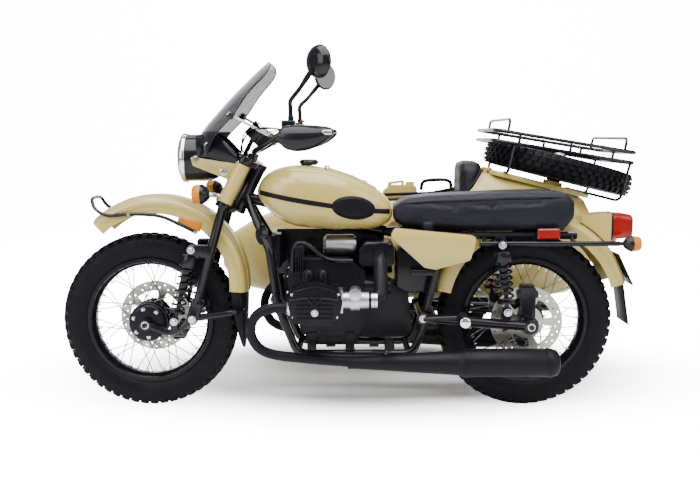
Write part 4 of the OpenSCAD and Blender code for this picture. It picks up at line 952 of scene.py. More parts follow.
@dataclass
class LacedWheel:
    """Tyre with its tread blocks and spoke nipples of one wheel."""

    name: str
    body: Body
    node: str
    centre: Array
    axis: Array = field(default_factory=LEFT.copy)
    blocks: int = 54
    crown: float = 350.0
    spokes: int = 40

    def carcass(self) -> Surface:
        """Smooth tyre body: a spline through its side wall, turned round the axle.

        Returns:
            The closed body.
        """
        half = np.array([[241.5, 35.6], [251.5, 35.8], [262, 43.5], [290, 53.4], [314, 52.2], [329, 46.5],
                         [337.5, 31], [339.5, 12], [340, 0]])
        side = spline(half, 40)
        profile = np.vstack([side, side[-2::-1] * [1, -1], half[:1]])
        ridge = np.array([[276, 0.9], [284, 0.9]])
        wall = profile[:, 0]
        for r, up in ridge:
            profile[:, 1] += np.sign(profile[:, 1]) * up * np.exp(-(((wall - r) / 2.2) ** 2))
        return revolve(profile, 120)

    def tread(self) -> Surface:
        """Tapered blocks in staggered rows: each is a small box in angle, width and radius.

        Returns:
            All blocks.
        """
        rows = [(-11, 20, 337, 349.8, 0.0, 0.66), (11, 20, 337, 349.8, 0.5, 0.66),
                (-32.5, 17, 333, 347.2, 0.3, 0.62), (32.5, 17, 333, 347.2, 0.8, 0.62),
                (-46, 9, 320, 340.5, 0.3, 0.5), (46, 9, 320, 340.5, 0.8, 0.5)]
        corners = np.array([[a, w, r] for r in (0, 1) for a, w in ((-1, -1), (1, -1), (1, 1), (-1, 1))],
                           float)
        faces = [[0, 3, 2, 1], [4, 5, 6, 7], [0, 1, 5, 4], [1, 2, 6, 5], [2, 3, 7, 6], [3, 0, 4, 7]]
        step = 2 * math.pi / self.blocks
        parts = []
        for middle, width, low, high, phase, share in rows:
            a0 = step * (np.arange(self.blocks) + phase)[:, None]
            taper = 1 - 0.16 * corners[:, 2]
            a = a0 + corners[:, 0] * taper * step * share / 2
            w = np.broadcast_to(middle + corners[:, 1] * taper * width / 2, a.shape)
            drop = 3.0 * (np.sign(w) * (w - middle) > 0) * (abs(middle) > 30)
            r = low + (high - low) * corners[:, 2] - drop * corners[:, 2]
            points = np.stack([r * np.cos(a), r * np.sin(a), w], -1).reshape(-1, 3)
            parts.append(Surface(points, repeated(faces, len(corners), self.blocks)))
        return join(*parts)

    def nipples(self) -> Surface:
        """Small tapered nuts where the spokes meet the rim.

        Returns:
            All nuts.
        """
        shape = revolve([[0, 0], [2.6, 0], [3.2, 3], [3.2, 12], [0, 12]], 6)
        a = 2 * math.pi * (np.arange(self.spokes) + 0.25) / self.spokes
        out = np.stack([np.cos(a), np.sin(a), np.zeros_like(a)], -1)
        side = np.stack([-np.sin(a), np.cos(a), np.zeros_like(a)], -1)
        turn = np.stack([side, np.broadcast_to([0.0, 0.0, 1.0], side.shape), out], 1)
        seat = out * 210 + np.stack([0 * a, 0 * a, 9 * (-1.0) ** np.arange(self.spokes)], -1)
        return stamped(shape, turn, seat[:, None])

    def build(self, shop: Workshop) -> None:
        """Makes the wheel's pieces.

        Args:
            shop: makes the pieces.
        """
        shop.piece(self.name + "_tyre_body", self.carcass().moved(self.centre, self.axis), TYRE, self.body,
                   (self.node,))
        shop.piece(self.name + "_tread", self.tread().moved(self.centre, self.axis), TYRE, self.body,
                   sharp=20)
        shop.piece(self.name + "_nipples", self.nipples().moved(self.centre, self.axis), STEEL, self.body)


@dataclass
class RunningGear:
    """Finishes of the wheels' metal, brakes, arms and shocks, and the front hub's cover."""

    def hub_finish(self, shop: Workshop, name: str, centre: Array) -> Finish:
        """Grey steel spokes round a black hub.

        Args:
            shop: knows the frame's origin.
            name: the finish's name.
            centre: the axle's middle in the drawing's frame.

        Returns:
            The finish.
        """
        place = tuple((centre / 1000 + shop.origin).tolist())
        return Finish(name, "bright_steel", (0.2, 0.2, 0.215), (0.13, 0.13, 0.14), (0.2, 0.34), metallic=0.9,
                      core=((0.014, 0.014, 0.016), 0.0775, place))

    def build(self, shop: Workshop) -> None:
        """Dresses the nodes and adds the hub cover, axle nuts and disc bolts.

        Args:
            shop: makes the pieces.
        """
        for name, centre in (("front", FRONT_AXLE), ("rear", REAR_AXLE), ("sidecar", SIDECAR_AXLE)):
            shop.dress(self.hub_finish(shop, name + "_spokes", centre), name + "_hub")
            shop.dress(RIM_BLACK, name + "_wheel_rim")
        shop.dress(RIM_BLACK, "spare_wheel")
        shop.dress(DISC, "front_disc", "rear_disc")
        shop.dress(ENAMEL, "leading_arm", "front_fork", "swingarm", "sidecar_swingarm", "front_shocks",
                   "rear_shocks", bevel=0.0008)
        shop.dress(ENAMEL, "front_caliper", "rear_caliper", bevel=0.003)
        cover = revolve(spline([[0, 96], [30, 96], [58, 94], [70, 89], [75, 80], [76, 68]], 30).tolist()
                        + [[66, 65], [0, 65]], 64)
        shop.piece("front_hub_cover", cover.moved(FRONT_AXLE, LEFT), CASE, Body.FORK)
        self.bolts(shop)

    def bolts(self, shop: Workshop) -> None:
        """Cover bolts, axle and pivot nuts, and disc bolts.

        Args:
            shop: makes the pieces.
        """
        ring = np.radians([20, 75, 130, 200, 265, 320])
        spots = FRONT_AXLE + np.stack([56 * np.cos(ring), np.full(6, 93.5), 56 * np.sin(ring)], -1)
        shop.piece("front_cover_bolts", copies(bolt(7, 7), spots, LEFT), STEEL, Body.FORK)
        nuts = [FRONT_AXLE + [0, 132, 0], np.array([1314.0, 142.5, 374.0]), np.array([1314.0, 136.0, 646.0]),
                np.array([1386.0, 136.0, 364.0])]
        shop.pair("fork_nuts", copies(bolt(13, 10), nuts, LEFT), STEEL, Body.FORK)
        rear = [[0, 171, 350], [418, 172.5, 384], [121, 190, 673], [96, 190, 412]]
        shop.pair("rear_nuts", copies(bolt(13, 10), rear, LEFT), STEEL, Body.CHASSIS)
        shop.piece("rear_disc_bolts",
                   copies(bolt(6, 5), bolt_circle(5, 52), UPWARD).moved([0, 67.4, 350], LEFT), STEEL,
                   Body.REAR_WHEEL)


@dataclass
class Fenders:
    """Three fenders with their rolled edges, beads, reflectors and flaps."""

    half: float = 86.0
    skirt: float = 72.0

    def edges(self, middle: Array, radius: float, start: float, stop: float) -> Surface:
        """Wire rolled into the skirts' lower edges, and two pressed beads along the crown.

        Args:
            middle: centre of the fender's circle.
            radius: its crown's radius.
            start: first angle in degrees.
            stop: last angle.

        Returns:
            The wires and beads.
        """
        wires = [sweep(arc(middle, radius - self.skirt + 2, start, stop, s * (self.half - 2)), 3.4, 8,
                       up=(0, 1, 0)) for s in (-1, 1)]
        beads = [sweep(arc(middle, radius - low, start + 1, stop - 1, s * out), 2.6, 8, up=(0, 1, 0))
                 for s in (-1, 1) for low, out in ((4.6, 40), (34, 85.4), (42, 85.4))]
        return join(*wires, *beads)

    def build(self, shop: Workshop) -> None:
        """Dresses the fenders and adds their small pieces.

        Args:
            shop: makes the pieces.
        """
        shop.dress(SAND, "front_fender", "rear_fender", "sidecar_fender")
        shop.dress(RUBBER, "rear_mud_flap", bevel=0.0012)
        shop.piece("front_flap", self.flap(), RUBBER, Body.FORK, ("front_mud_flap",))
        front, rear = FRONT_AXLE + [-37, 0, 144], np.array([-15.0, 0.0, 400.0])
        shop.piece("front_fender_beads", self.edges(front, 362, 46, 184), SAND, Body.FORK)
        shop.piece("rear_fender_beads", self.edges(rear, 398, 12, 164), SAND, Body.CHASSIS)
        shop.piece("sidecar_fender_beads", self.edges(SIDECAR_AXLE + [0, 0, 40], 400, 4, 176), SAND,
                   Body.CHASSIS)
        self.bumper(shop)
        self.reflectors(shop)
        self.plate_holder(shop)

    def bumper(self, shop: Workshop) -> None:
        """Bar round the front fender with its screws.

        Args:
            shop: makes the pieces.
        """
        half = np.array([[1296, 93.3, 707], [1370, 93.3, 745], [1446, 93.3, 775], [1560, 93.3, 781],
                         [1640, 92.5, 776], [1690, 86, 800], [1709, 62, 835]])
        loop = spline(np.vstack([half, [[1712, 0, 841]], half[::-1] * [1, -1, 1]]), 120)
        shop.piece("bumper_loop", sweep(loop, 7, 14, up=(0.2, 0.1, 1)), ENAMEL, Body.FORK, ("bumper_bar",))
        screws = np.array([[1302, 100, 710], [1560, 100, 781]])
        shop.pair("fender_screws", copies(bolt(6, 5), screws, LEFT), STEEL, Body.FORK)

    def reflectors(self, shop: Workshop) -> None:
        """Amber plates on the front fender and red ones on the rear rails.

        Args:
            shop: makes the pieces.
        """
        plate = self.reflector(96, 38)
        amber = join(plate.moved([1326, 87, 742], [0, 1, 0], -16),
                     plate.moved([1326, -87, 742], [0, -1, 0], 16))
        shop.piece("fender_reflectors", amber, AMBER, Body.FORK)
        red = self.reflector(86, 40)
        shop.piece("rear_reflectors",
                   join(red.moved([-61, 153, 711], LEFT), red.moved([-61, -153, 711], [0, -1, 0])), RED,
                   Body.CHASSIS)

    def plate_holder(self, shop: Workshop) -> None:
        """Plain board for a number plate, leaning below the tail lamp.

        Args:
            shop: makes the pieces.
        """
        holder = brick([-90, -2, -70], [90, 2, 70], 1.8)
        c, s = np.cos(np.radians(26)), np.sin(np.radians(26))
        lean = np.array([[c, 0, -s], [0, 1, 0], [s, 0, c]])
        leaning = Surface(holder.points[:, [1, 0, 2]] @ lean, holder.faces)
        shop.piece("plate_holder", leaning.shifted([-382, 0, 562]), PLASTIC, Body.CHASSIS)

    @staticmethod
    def flap() -> Surface:
        """Rubber flap below the front fender: a channel that hugs the tyre and narrows to a round foot.

        Returns:
            The closed flap.
        """
        rows = spline(np.array([[1107, 506, 80, 62], [1108, 430, 76, 56], [1112, 350, 64, 42],
                                [1117, 285, 46, 24], [1122, 246, 26, 10], [1124, 232, 10, 3]]), 40)
        turn = np.radians(np.linspace(-90, 90, 25))[None]
        x, z, half, deep = (rows[:, i : i + 1] for i in range(4))
        outer = np.stack([x + deep * (1 - np.cos(turn) ** 0.5), half * np.sin(turn), z + 0 * turn], -1)
        inner = np.stack([x + 5 + (deep - 1) * (1 - np.cos(turn) ** 0.5), (half - 4) * np.sin(turn),
                          z + 0 * turn], -1)
        return shell(outer, inner)

    @staticmethod
    def reflector(width: float, height: float) -> Surface:
        """Flat lens whose face rises and falls in fine upright ribs; local Z points out of it.

        Args:
            width: along local X.
            height: along local Y.

        Returns:
            The closed lens.
        """
        u, v = np.meshgrid(np.linspace(-1, 1, 49), np.linspace(-1, 1, 9), indexing="ij")
        rim = np.minimum(1, 6 * (1 - np.maximum(np.abs(u), np.abs(v))))
        face = 5 * rim + 0.5 * np.cos(24 * math.pi * u) * rim
        top = np.stack([u * width / 2, v * height / 2, face], -1)
        back = np.stack([u[:, ::-1] * width / 2, v[:, ::-1] * height / 2, np.full_like(u, -1.0)], -1)
        return join(grid(np.concatenate([top, back], 1), wrap_v=True), grid(top[:1].repeat(2, 0)))


@dataclass
class Tank:
    """Fuel tank with its side band, knee pads, filler cap and tool lid."""

    rows: tuple = ((532.5, 772, 794, 22, 2.3), (537, 760, 803, 54, 2.6), (552, 742, 838, 77, 2.8),
                   (602, 720, 880, 100.6, 3), (690, 716, 925, 124.3, 3), (780, 717, 954, 140.6, 3),
                   (870, 724, 968, 148, 2.8), (940, 738, 966, 145, 2.7), (1000, 772, 950, 127.3, 2.6),
                   (1040, 812, 922, 91.8, 2.4), (1060, 838, 890, 52, 2.2), (1066, 852, 874, 22, 2.1))
    knee: tuple[float, float] = (686.0, 808.0)

    def table(self) -> Array:
        """Section rows on a smooth curve along the tank.

        Returns:
            Rows for a loft over sections.
        """
        return spline(np.array(self.rows), 90)

    def side(self, x: Array, z: Array) -> Array:
        """Half width of the tank's surface at places along it: the superellipse solved for Y.

        Args:
            x: places along the tank.
            z: heights.

        Returns:
            Y of the left side.
        """
        t = self.table()
        low, high, half, power = (np.interp(x, t[:, 0], t[:, i]) for i in (1, 2, 3, 4))
        share = np.clip(np.abs(z - (low + high) / 2) / ((high - low) / 2), 0, 0.999)
        return half * (1 - share**power) ** (1 / power)

    def band(self, line: Array, half: float = 9.5) -> Surface:
        """Raised rubber band on the tank's side along a line of x and z.

        Args:
            line: rows of x and z.
            half: half its width.

        Returns:
            The band of the left side.
        """
        p = spline(line, 60)
        across = np.array([-half, -half, -0.72 * half, 0.72 * half, half, half])
        out = np.array([-3.0, 1.6, 3.4, 3.4, 1.6, -3.0])
        x = np.repeat(p[:, :1], 6, 1)
        z = p[:, 1:] + across
        return grid(np.stack([x, self.side(x, z) + out, z], -1), wrap_v=True, caps=True)

    def knee_pad(self) -> Surface:
        """Oval pad: a disc of radius and angle laid on the tank, with a rounded edge and one raised ring.

        Returns:
            The left pad, open where it lies on the tank.
        """
        rho, phi = np.meshgrid(np.linspace(0, 1, 36), np.linspace(0, 2 * math.pi, 72, endpoint=False),
                               indexing="ij")
        tilt = math.radians(7)
        a, b = 86 * rho * np.cos(phi), 46 * rho * np.sin(phi)
        x = self.knee[0] + a * math.cos(tilt) - b * math.sin(tilt)
        z = self.knee[1] + a * math.sin(tilt) + b * math.cos(tilt)
        up = 8.6 * (1 - rho**10) + 1.3 * np.exp(-(((rho - 0.78) / 0.035) ** 2)) - 2.0 * (rho > 0.995)
        return grid(np.stack([x, self.side(x, z) + up, z], -1), wrap_v=True)

    def build(self, shop: Workshop) -> None:
        """Makes the tank's pieces.

        Args:
            shop: makes the pieces.
        """
        shop.piece("tank_shell", sections(self.table(), count=112), SAND, Body.CHASSIS, ("fuel_tank",),
                   sharp=60)
        front = self.band(np.array([[1052, 866], [1000, 857], [900, 838], [760, 815]]))
        back = self.band(np.array([[610, 795], [580, 793], [545, 791]]))
        shop.pair("tank_bands", join(front, back), RUBBER, Body.CHASSIS)
        shop.pair("knee_rubbers", self.knee_pad(), RUBBER, Body.CHASSIS, ("knee_pads",), closed=False)
        cap = revolve([[0, 23], [24, 23], [31, 21], [37, 15], [38, 8], [35, 4.5], [31, 4], [31, 0], [0, 0]],
                      96, 0.028, 12)
        shop.piece("filler_cap", cap.moved([863, 0, 968.4], UPWARD), PLASTIC, Body.CHASSIS, ("tank_cap",))
        shop.dress(SAND, "tank_lid", bevel=0.0015)
        shop.piece("tool_lid_lock",
                   copies(revolve([[0, 4], [7, 4], [9, 2], [9, -1], [0, -1]], 24), [[640, 0, 905]],
                          [-0.37, 0, 0.93]), STEEL, Body.TOOL_LID)
        shop.dress(SAND, "side_covers", bevel=0.004)


@dataclass
class Seats:
    """Saddle and sidecar seat, blown up as cloth, with their piping and seams."""

    rows: tuple = ((-168, 756, 838, 117.6), (-140, 724, 862, 134.4), (-60, 716, 867, 140),
                   (100, 716, 864, 140), (250, 716, 857, 134.4), (400, 716, 850, 117.6),
                   (490, 724, 838, 100.8), (530, 752, 812, 84))

    def seam(self) -> Array:
        """Closed line round the saddle where its top meets its sides.

        Returns:
            Points of the line.
        """
        t = spline(np.array(self.rows), 80)
        x, low, high, half = t.T
        x = np.clip(x, -163, 524)
        half = half * (1 - np.minimum(1, np.abs((x - 181) / 351)) ** 14) ** 0.5
        z = high - 17
        share = np.clip(np.abs(z - (low + high) / 2) / ((high - low) / 2), 0, 1)
        y = half * (1 - share**4.5) ** (1 / 4.5) + 2.2
        left = np.stack([x, y, z], -1)
        return np.vstack([left, left[::-1] * [1, -1, 1]])

    def build(self, shop: Workshop) -> None:
        """Makes the padded pieces and their sewn lines.

        Args:
            shop: makes the pieces.
        """
        shop.padding("saddle_cover", "saddle", Body.CHASSIS, 0.004)
        shop.padding("sidecar_seat_cover", "sidecar_seat", Body.CHASSIS, 0.005)
        line = self.seam()
        shop.piece("saddle_piping", sweep(line, 3.6, 8, closed=True), VINYL, Body.CHASSIS)
        z = np.linspace(730, 846, 24)
        y = 140 * (1 - np.clip(np.abs(z - 790) / 75, 0, 1) ** 4.5) ** (1 / 4.5) + 1.6
        upright = np.stack([np.full_like(z, 150) + 6 * np.sin((z - 730) / 116 * math.pi), y, z], -1)
        shop.pair("saddle_seams", sweep(upright, 2.0, 6, up=(1, 0, 0)), VINYL, Body.CHASSIS)


@dataclass
class Lamps:
    """Headlight, indicators and tail lamp, each with its own shell and lens."""

    def headlight(self, shop: Workshop) -> None:
        """Black shell, bright rim, silvered bowl and a clear lens, all turned round one axis.

        Args:
            shop: makes the pieces.
        """
        case = revolve(spline([[0, -56], [30, -54], [58, -46], [78, -26], [88, -2], [92, 24], [92, 60],
                               [92, 91]], 48).tolist() + [[86, 92], [80, 60], [0, -48]], 72)
        rim = revolve(spline([[90, 90], [96, 91], [98, 97], [97.4, 104], [94, 110], [88, 113.5], [84, 112],
                              [84.5, 106], [88, 98], [90, 90]], 60), 96)
        bowl = revolve(spline([[84, 108], [76, 84], [60, 64], [38, 52], [16, 47], [0, 46]], 30).tolist()
                       + [[0, 43], [40, 49], [62, 60], [79, 82], [86, 107], [84, 108]], 72)
        u = np.linspace(0, 1, 26)
        dome = np.stack([84.5 * np.sin(u * math.pi / 2), 112 + 16 * np.cos(u * math.pi / 2)], -1)
        lens = revolve(dome.tolist() + (dome[::-1] - [0, 3]).tolist(), 96)
        bulb = revolve([[0, 46], [9, 48], [10, 70], [7, 82], [0, 86]], 24)
        shop.piece("headlight_shell", case.moved(LAMP_MID, FORWARD), ENAMEL, Body.FORK, ("headlight",))
        inside = {"rim": (rim, CHROME), "bowl": (bowl, CHROME), "bulb": (bulb, DIAL), "lens": (lens, CLEAR)}
        for part, (shape, finish) in inside.items():
            shop.piece("headlight_" + part, shape.moved(LAMP_MID, FORWARD), finish, Body.FORK)
        shop.pair("headlight_bolts", copies(bolt(11, 9), [LAMP_MID + [44, 98.6, 0]], LEFT), STEEL, Body.FORK)

    @staticmethod
    def indicator() -> tuple[Surface, Surface]:
        """Black cup and ribbed amber lens on local Z, which points the way the lamp shines.

        Returns:
            The cup and the lens.
        """
        cup = revolve([[0, -30], [16, -30], [26, -22], [35, -8], [38, 0], [38, 4], [35, 4], [0, 3]], 40)
        lens = revolve(spline([[36.5, 3.5], [36, 12], [34.4, 24], [31.5, 33], [22, 38.5], [0, 40]],
                              30).tolist() + [[0, 3.5]], 72, 0.012, 24)
        return cup, lens

    def build(self, shop: Workshop) -> None:
        """Makes every lamp.

        Args:
            shop: makes the pieces.
        """
        self.headlight(shop)
        self.front_indicators(shop)
        self.rear_indicators(shop)
        self.tail_lamp(shop)

    def front_indicators(self, shop: Workshop) -> None:
        """Cups, lenses and stems beside the headlight.

        Args:
            shop: makes the pieces.
        """
        cup, lens = self.indicator()
        mid = HEAD + [162, 168, -16]
        root = HEAD + 50 * AHEAD - 60 * RISE + [0, 115, 0]
        stem = spline(np.array([root, root + [40, 20, 10], mid - [40, 0, 0], mid - [20, 0, 0]]), 24)
        shop.pair("front_indicator_cups", cup.moved(mid - [2, 0, 0], FORWARD), PLASTIC, Body.FORK,
                  ("front_indicators",))
        shop.pair("front_indicator_lenses", lens.moved(mid - [4, 0, 0], FORWARD), AMBER, Body.FORK)
        shop.pair("front_indicator_stems", sweep(stem, 7, 12), CHROME, Body.FORK)

    def rear_indicators(self, shop: Workshop) -> None:
        """Smaller cups and lenses on the rear rails.

        Args:
            shop: makes the pieces.
        """
        cup, lens = self.indicator()
        back = np.array([-1.0, 0.0, 0.0])
        small = [Surface(s.points * [0.82, 0.82, 0.95], s.faces) for s in (cup, lens)]
        at = np.array([-378.0, 150.0, 673.0])
        shop.pair("rear_indicator_cups", small[0].moved(at, back), PLASTIC, Body.CHASSIS, ("rear_lights",))
        shop.pair("rear_indicator_lenses", small[1].moved(at, back), AMBER, Body.CHASSIS)
        shop.pair("rear_indicator_stems", sweep(np.linspace([-326, 150, 673], [-354, 150, 673], 4), 8, 12),
                  ENAMEL, Body.CHASSIS)

    def tail_lamp(self, shop: Workshop) -> None:
        """Red lens, stepped along its depth, on a black base.

        Args:
            shop: makes the pieces.
        """
        x = np.array([-330.5, -334, -344, -372, -404, -418, -422.5])
        grow = np.array([1, 1.04, 1, 0.97, 0.9, 0.8, 0.62])
        ribs = spline(np.stack([x, 727 - 52 * grow, 727 + 54 * grow, 47 * grow, np.full(7, 5.0)], -1), 60)
        shop.piece("tail_lens", sections(ribs, count=64), RED, Body.CHASSIS, sharp=50)
        base = np.array([[-322, 672, 782, 49, 6], [-331, 671, 783, 50, 6], [-338, 671, 783, 50, 6],
                         [-339, 674, 780, 47, 6]])
        shop.piece("tail_lamp_base", sections(base, count=64), PLASTIC, Body.CHASSIS)


@dataclass
class Cockpit:
    """Screen, bar, guards, mirrors, cables and gauge that the rider sees."""

    screen: tuple = ((0, 196, 128, 150, 48), (0.18, 184, 208, 186, 80), (0.4, 128, 280, 202, 92),
                     (0.65, 48, 365, 196, 72), (0.85, -26, 438, 165, 62), (0.95, -60, 470, 118, 40),
                     (1, -78, 486, 50, 12))

    def screen_point(self, u: Array, s: Array) -> Array:
        """Point on the screen: its rows swept back towards the sides.

        Args:
            u: -1 to 1 across it.
            s: 0 to 1 up it.

        Returns:
            Points, in the shape of the arguments.
        """
        rows = spline(np.array(self.screen), 200)
        ahead, up, half, back = (np.interp(s, rows[:, 0], rows[:, i]) for i in (1, 2, 3, 4))
        return np.stack([HEAD[0] + ahead - back * np.abs(u) ** 2.2, half * u, HEAD[2] + up], -1)

    def low_edge(self, u: Array) -> Array:
        """Share of the screen's height where it clears the headlight's shell.

        Args:
            u: -1 to 1 across the screen.

        Returns:
            Shares, in the shape of the argument.
        """
        y = np.abs(u) * 172
        top = LAMP_MID[2] + np.sqrt(np.maximum(0, (LAMP_R + 2) ** 2 - y**2)) - HEAD[2]
        rows = np.array(self.screen)
        return np.where(y < LAMP_R + 2, np.clip(np.interp(top, rows[:, 2], rows[:, 0]), 0, 1), 0.0)

    def sheet(self, low: float | None, high: float, thick: float) -> Surface:
        """Part of the screen between two shares of its height, as a closed sheet.

        Args:
            low: lower share, or None for the edge over the headlight.
            high: upper share.
            thick: thickness.

        Returns:
            The surface.
        """
        u, v = np.meshgrid(np.linspace(-1, 1, 61), np.linspace(0, 1, 36), indexing="ij")
        start = self.low_edge(u) if low is None else np.full_like(u, low)
        outer = self.screen_point(u, start + (high - start) * v)
        inner = outer - np.array([0.75, 0.0, 0.66]) * thick
        return join(grid(np.concatenate([outer, inner[:, ::-1]], 1), wrap_v=True),
                    grid(np.stack([outer[0], inner[0]])), grid(np.stack([outer[-1], inner[-1]])))

    def skirt(self) -> Surface:
        """Left cheek of the dark panel, from the screen's lower side down to the cowl's ear.

        Returns:
            The closed cheek.
        """
        low = spline(np.array([[1290, 1008], [1250, 1002], [1190, 988], [1128, 976]]), 25)[:, None]
        high = spline(np.array([[1292, 1086], [1244, 1090], [1200, 1078], [1140, 1018]]), 25)[:, None]
        v = np.linspace(0, 1, 9)[None, :, None]
        side = low + (high - low) * v
        outer = np.stack([side[..., 0], 100 + 9 * np.sin(math.pi * v[..., 0]) + 0 * side[..., 0],
                          side[..., 1]], -1)
        inner = outer - [0, 4, 0]
        return shell(outer, inner)

    def windshield(self, shop: Workshop) -> None:
        """Smoked sheet over a dark lower panel, with its edge trim, brackets and struts.

        Args:
            shop: makes the pieces.
        """
        split = 0.2
        shop.piece("screen_sheet", self.sheet(split, 1.0, 4.0), SMOKE, Body.FORK, ("windshield",))
        shop.piece("screen_panel", self.sheet(None, split + 0.012, 5.0), PLASTIC, Body.FORK)
        shop.pair("screen_skirt", self.skirt(), PLASTIC, Body.FORK)
        s = np.linspace(0.02, 1, 60)
        sides = [self.screen_point(np.full_like(s, k), s) for k in (-1.0, 1.0)]
        top = self.screen_point(np.linspace(-1, 1, 40), np.ones(40))
        rim = np.vstack([sides[0], top[1:-1], sides[1][::-1]]) - [1.6, 0, 1.4]
        shop.piece("screen_trim", sweep(rim, 2.6, 8, up=(0.6, 0, -0.8)), PLASTIC, Body.FORK)
        hold = self.screen_point(np.array([0.9]), np.array([0.42]))[0] - [8, 0, 6]
        foot = BAR_MID + (BAR_ELBOW - BAR_MID) * 0.62 + [0, 0, 6]
        shop.pair("screen_struts", sweep(np.linspace(foot, hold, 8), 5.5, 12), STEEL, Body.FORK)
        pads = join(copies(revolve([[0, 12], [12, 12], [15, 8], [15, -10], [0, -10]], 24), [hold],
                           hold - foot),
                    copies(revolve([[0, 26], [14, 26], [17, 20], [17, -14], [0, -14]], 24),
                           [foot - [4, 0, 8]], hold - foot))
        shop.pair("screen_brackets", pads, PLASTIC, Body.FORK)
        spots = self.screen_point(np.array([0.88, -0.88, 0.86, -0.86]), np.array([0.42, 0.42, 0.1, 0.1]))
        shop.piece("screen_screws",
                   copies(revolve([[0, 4], [6, 3.4], [8, 1.5], [8, -2], [0, -2]], 18), spots,
                          [0.75, 0, 0.66]), STEEL, Body.FORK)

    @staticmethod
    def guard() -> Surface:
        """Teardrop shell outside the left grip, whose wall bows outwards between a lower and an upper edge.

        Returns:
            The closed shell.
        """
        edge = spline(np.array([[757, 1090, 1104], [768, 1076, 1113], [805, 1050, 1119], [850, 1033, 1122],
                                [895, 1030, 1122], [928, 1040, 1117], [946, 1060, 1106], [952, 1078, 1092]]),
                      56)
        turn = np.radians(np.linspace(-104, 104, 33))[None]
        x, low, high = (edge[:, i : i + 1] for i in range(3))
        bow = 18 + 26 * np.sin(math.pi * np.clip((x - 745) / 225, 0, 1)) ** 0.6
        outer = np.stack([x + 0 * turn, BAR_TIP[1] - 20 + bow * np.cos(turn),
                          (low + high) / 2 + (high - low) / 2 * np.sin(turn)], -1)
        inner = outer - np.stack([0 * x + 0 * turn, 3.2 * np.cos(turn) + 0 * x, 3.2 * np.sin(turn) + 0 * x],
                                 -1)
        return shell(outer, inner)

    def controls(self, shop: Workshop) -> None:
        """Grips, switch boxes, guards and mirrors.

        Args:
            shop: makes the pieces.
        """
        shop.dress(ENAMEL, "handlebar", bevel=0.001)
        along = np.linspace(0, 116, 117)
        rib = 17.6 + 0.9 * np.cos(along * 2 * math.pi / 7) + 2.5 * (along < 5)
        grip = revolve(np.vstack([[[11, 0]], np.stack([rib, along], -1), [[11, 116]]]), 32)
        shop.pair("grips", grip.moved(BAR_TIP - 119 * GRIP_WAY, GRIP_WAY), RUBBER, Body.FORK)
        shop.pair("guard_shells", self.guard(), PLASTIC, Body.FORK, ("hand_guards",))
        tip = brick([-84, 2, -2], [-48, 17, 16], 5)
        shop.pair("guard_tips", tip.shifted(BAR_TIP), STEEL, Body.FORK)
        box = brick([-20, -26, 12], [30, 24, 44], 6)
        perch = BAR_TIP - 158 * GRIP_WAY
        shop.pair("switch_boxes", box.shifted(perch), PLASTIC, Body.FORK)
        shop.piece("stop_button",
                   copies(revolve([[0, 10], [8, 9], [10, 6], [10, 0], [0, 0]], 24),
                          [perch * [1, -1, 1] + [-14, 20, 44]], UPWARD), RED, Body.FORK)
        self.mirrors(shop)

    def mirrors(self, shop: Workshop) -> None:
        """Rubber sleeves on the stalks, and the glass.

        Args:
            shop: makes the pieces.
        """
        shop.dress(ENAMEL, "mirrors", bevel=0.001)
        head = np.array([BAR_TIP[0] - 30, 392, BAR_MID[2] + 318])
        foot = BAR_TIP - 149 * GRIP_WAY + [0, 0, 22.6]
        stalk = spline(np.array([foot + [0, 0, 2], foot + [1, 0, 60], foot + [0, 0, 92],
                                 (foot + [2, 0, 84]) * 0.6 + (head + [16, 6, -30]) * 0.4,
                                 head + [16, 6, -30]]), 40)
        thick = 8.2 + 2.4 * (np.linspace(0, 1, 40) < 0.14) + 1.6 * (np.linspace(0, 1, 40) > 0.86)
        shop.pair("mirror_sleeves", sweep(stalk, thick, 14, up=(0, 1, 0)), RUBBER, Body.FORK)
        glass = revolve([[0, 2.2], [40, 1.6], [54, 0.4], [54, -1], [0, -1]], 64)
        way = np.array([-math.sin(math.radians(43)), -math.cos(math.radians(43)), 0.0])
        shop.pair("mirror_glass", glass.moved(head + 15.4 * way, way), MIRROR, Body.FORK)

    def gauge(self, shop: Workshop) -> None:
        """Speedometer's bright ring, pale dial with plain strokes, and needle.

        Args:
            shop: makes the pieces.
        """
        shop.dress(PLASTIC, "speedometer", bevel=0.001)
        mid = HEAD + 72 * AHEAD + 175.3 * RISE
        way = np.array([-math.sin(math.radians(48)), 0, math.cos(math.radians(48))])
        shop.piece("dial_ring",
                   revolve([[40, 57], [47, 57], [48, 60], [46, 62], [41, 62], [40, 57]], 64).moved(mid, way),
                   CHROME, Body.FORK)
        shop.piece("dial_face", revolve([[0, 59], [40, 59], [40, 57.5], [0, 57.5]], 64).moved(mid, way), DIAL,
                   Body.FORK)
        a = np.radians(np.linspace(-130, 130, 27))
        stroke = brick([-0.7, -4, 0], [0.7, 4, 0.8], 0.3)
        turn = np.stack([np.stack([np.cos(a), np.sin(a), 0 * a], -1),
                         np.stack([-np.sin(a), np.cos(a), 0 * a], -1),
                         np.broadcast_to([0.0, 0.0, 1.0], (27, 3))], 1)
        marks = stamped(stroke.shifted([0, 33, 0]), turn, np.array([0, 0, 59]))
        shop.piece("dial_strokes", marks.moved(mid, way), PLASTIC, Body.FORK)
        shop.piece("dial_needle", brick([-1, -6, 59.4], [1, 26, 60.6], 0.5).moved(mid, way, 40), RED,
                   Body.FORK)

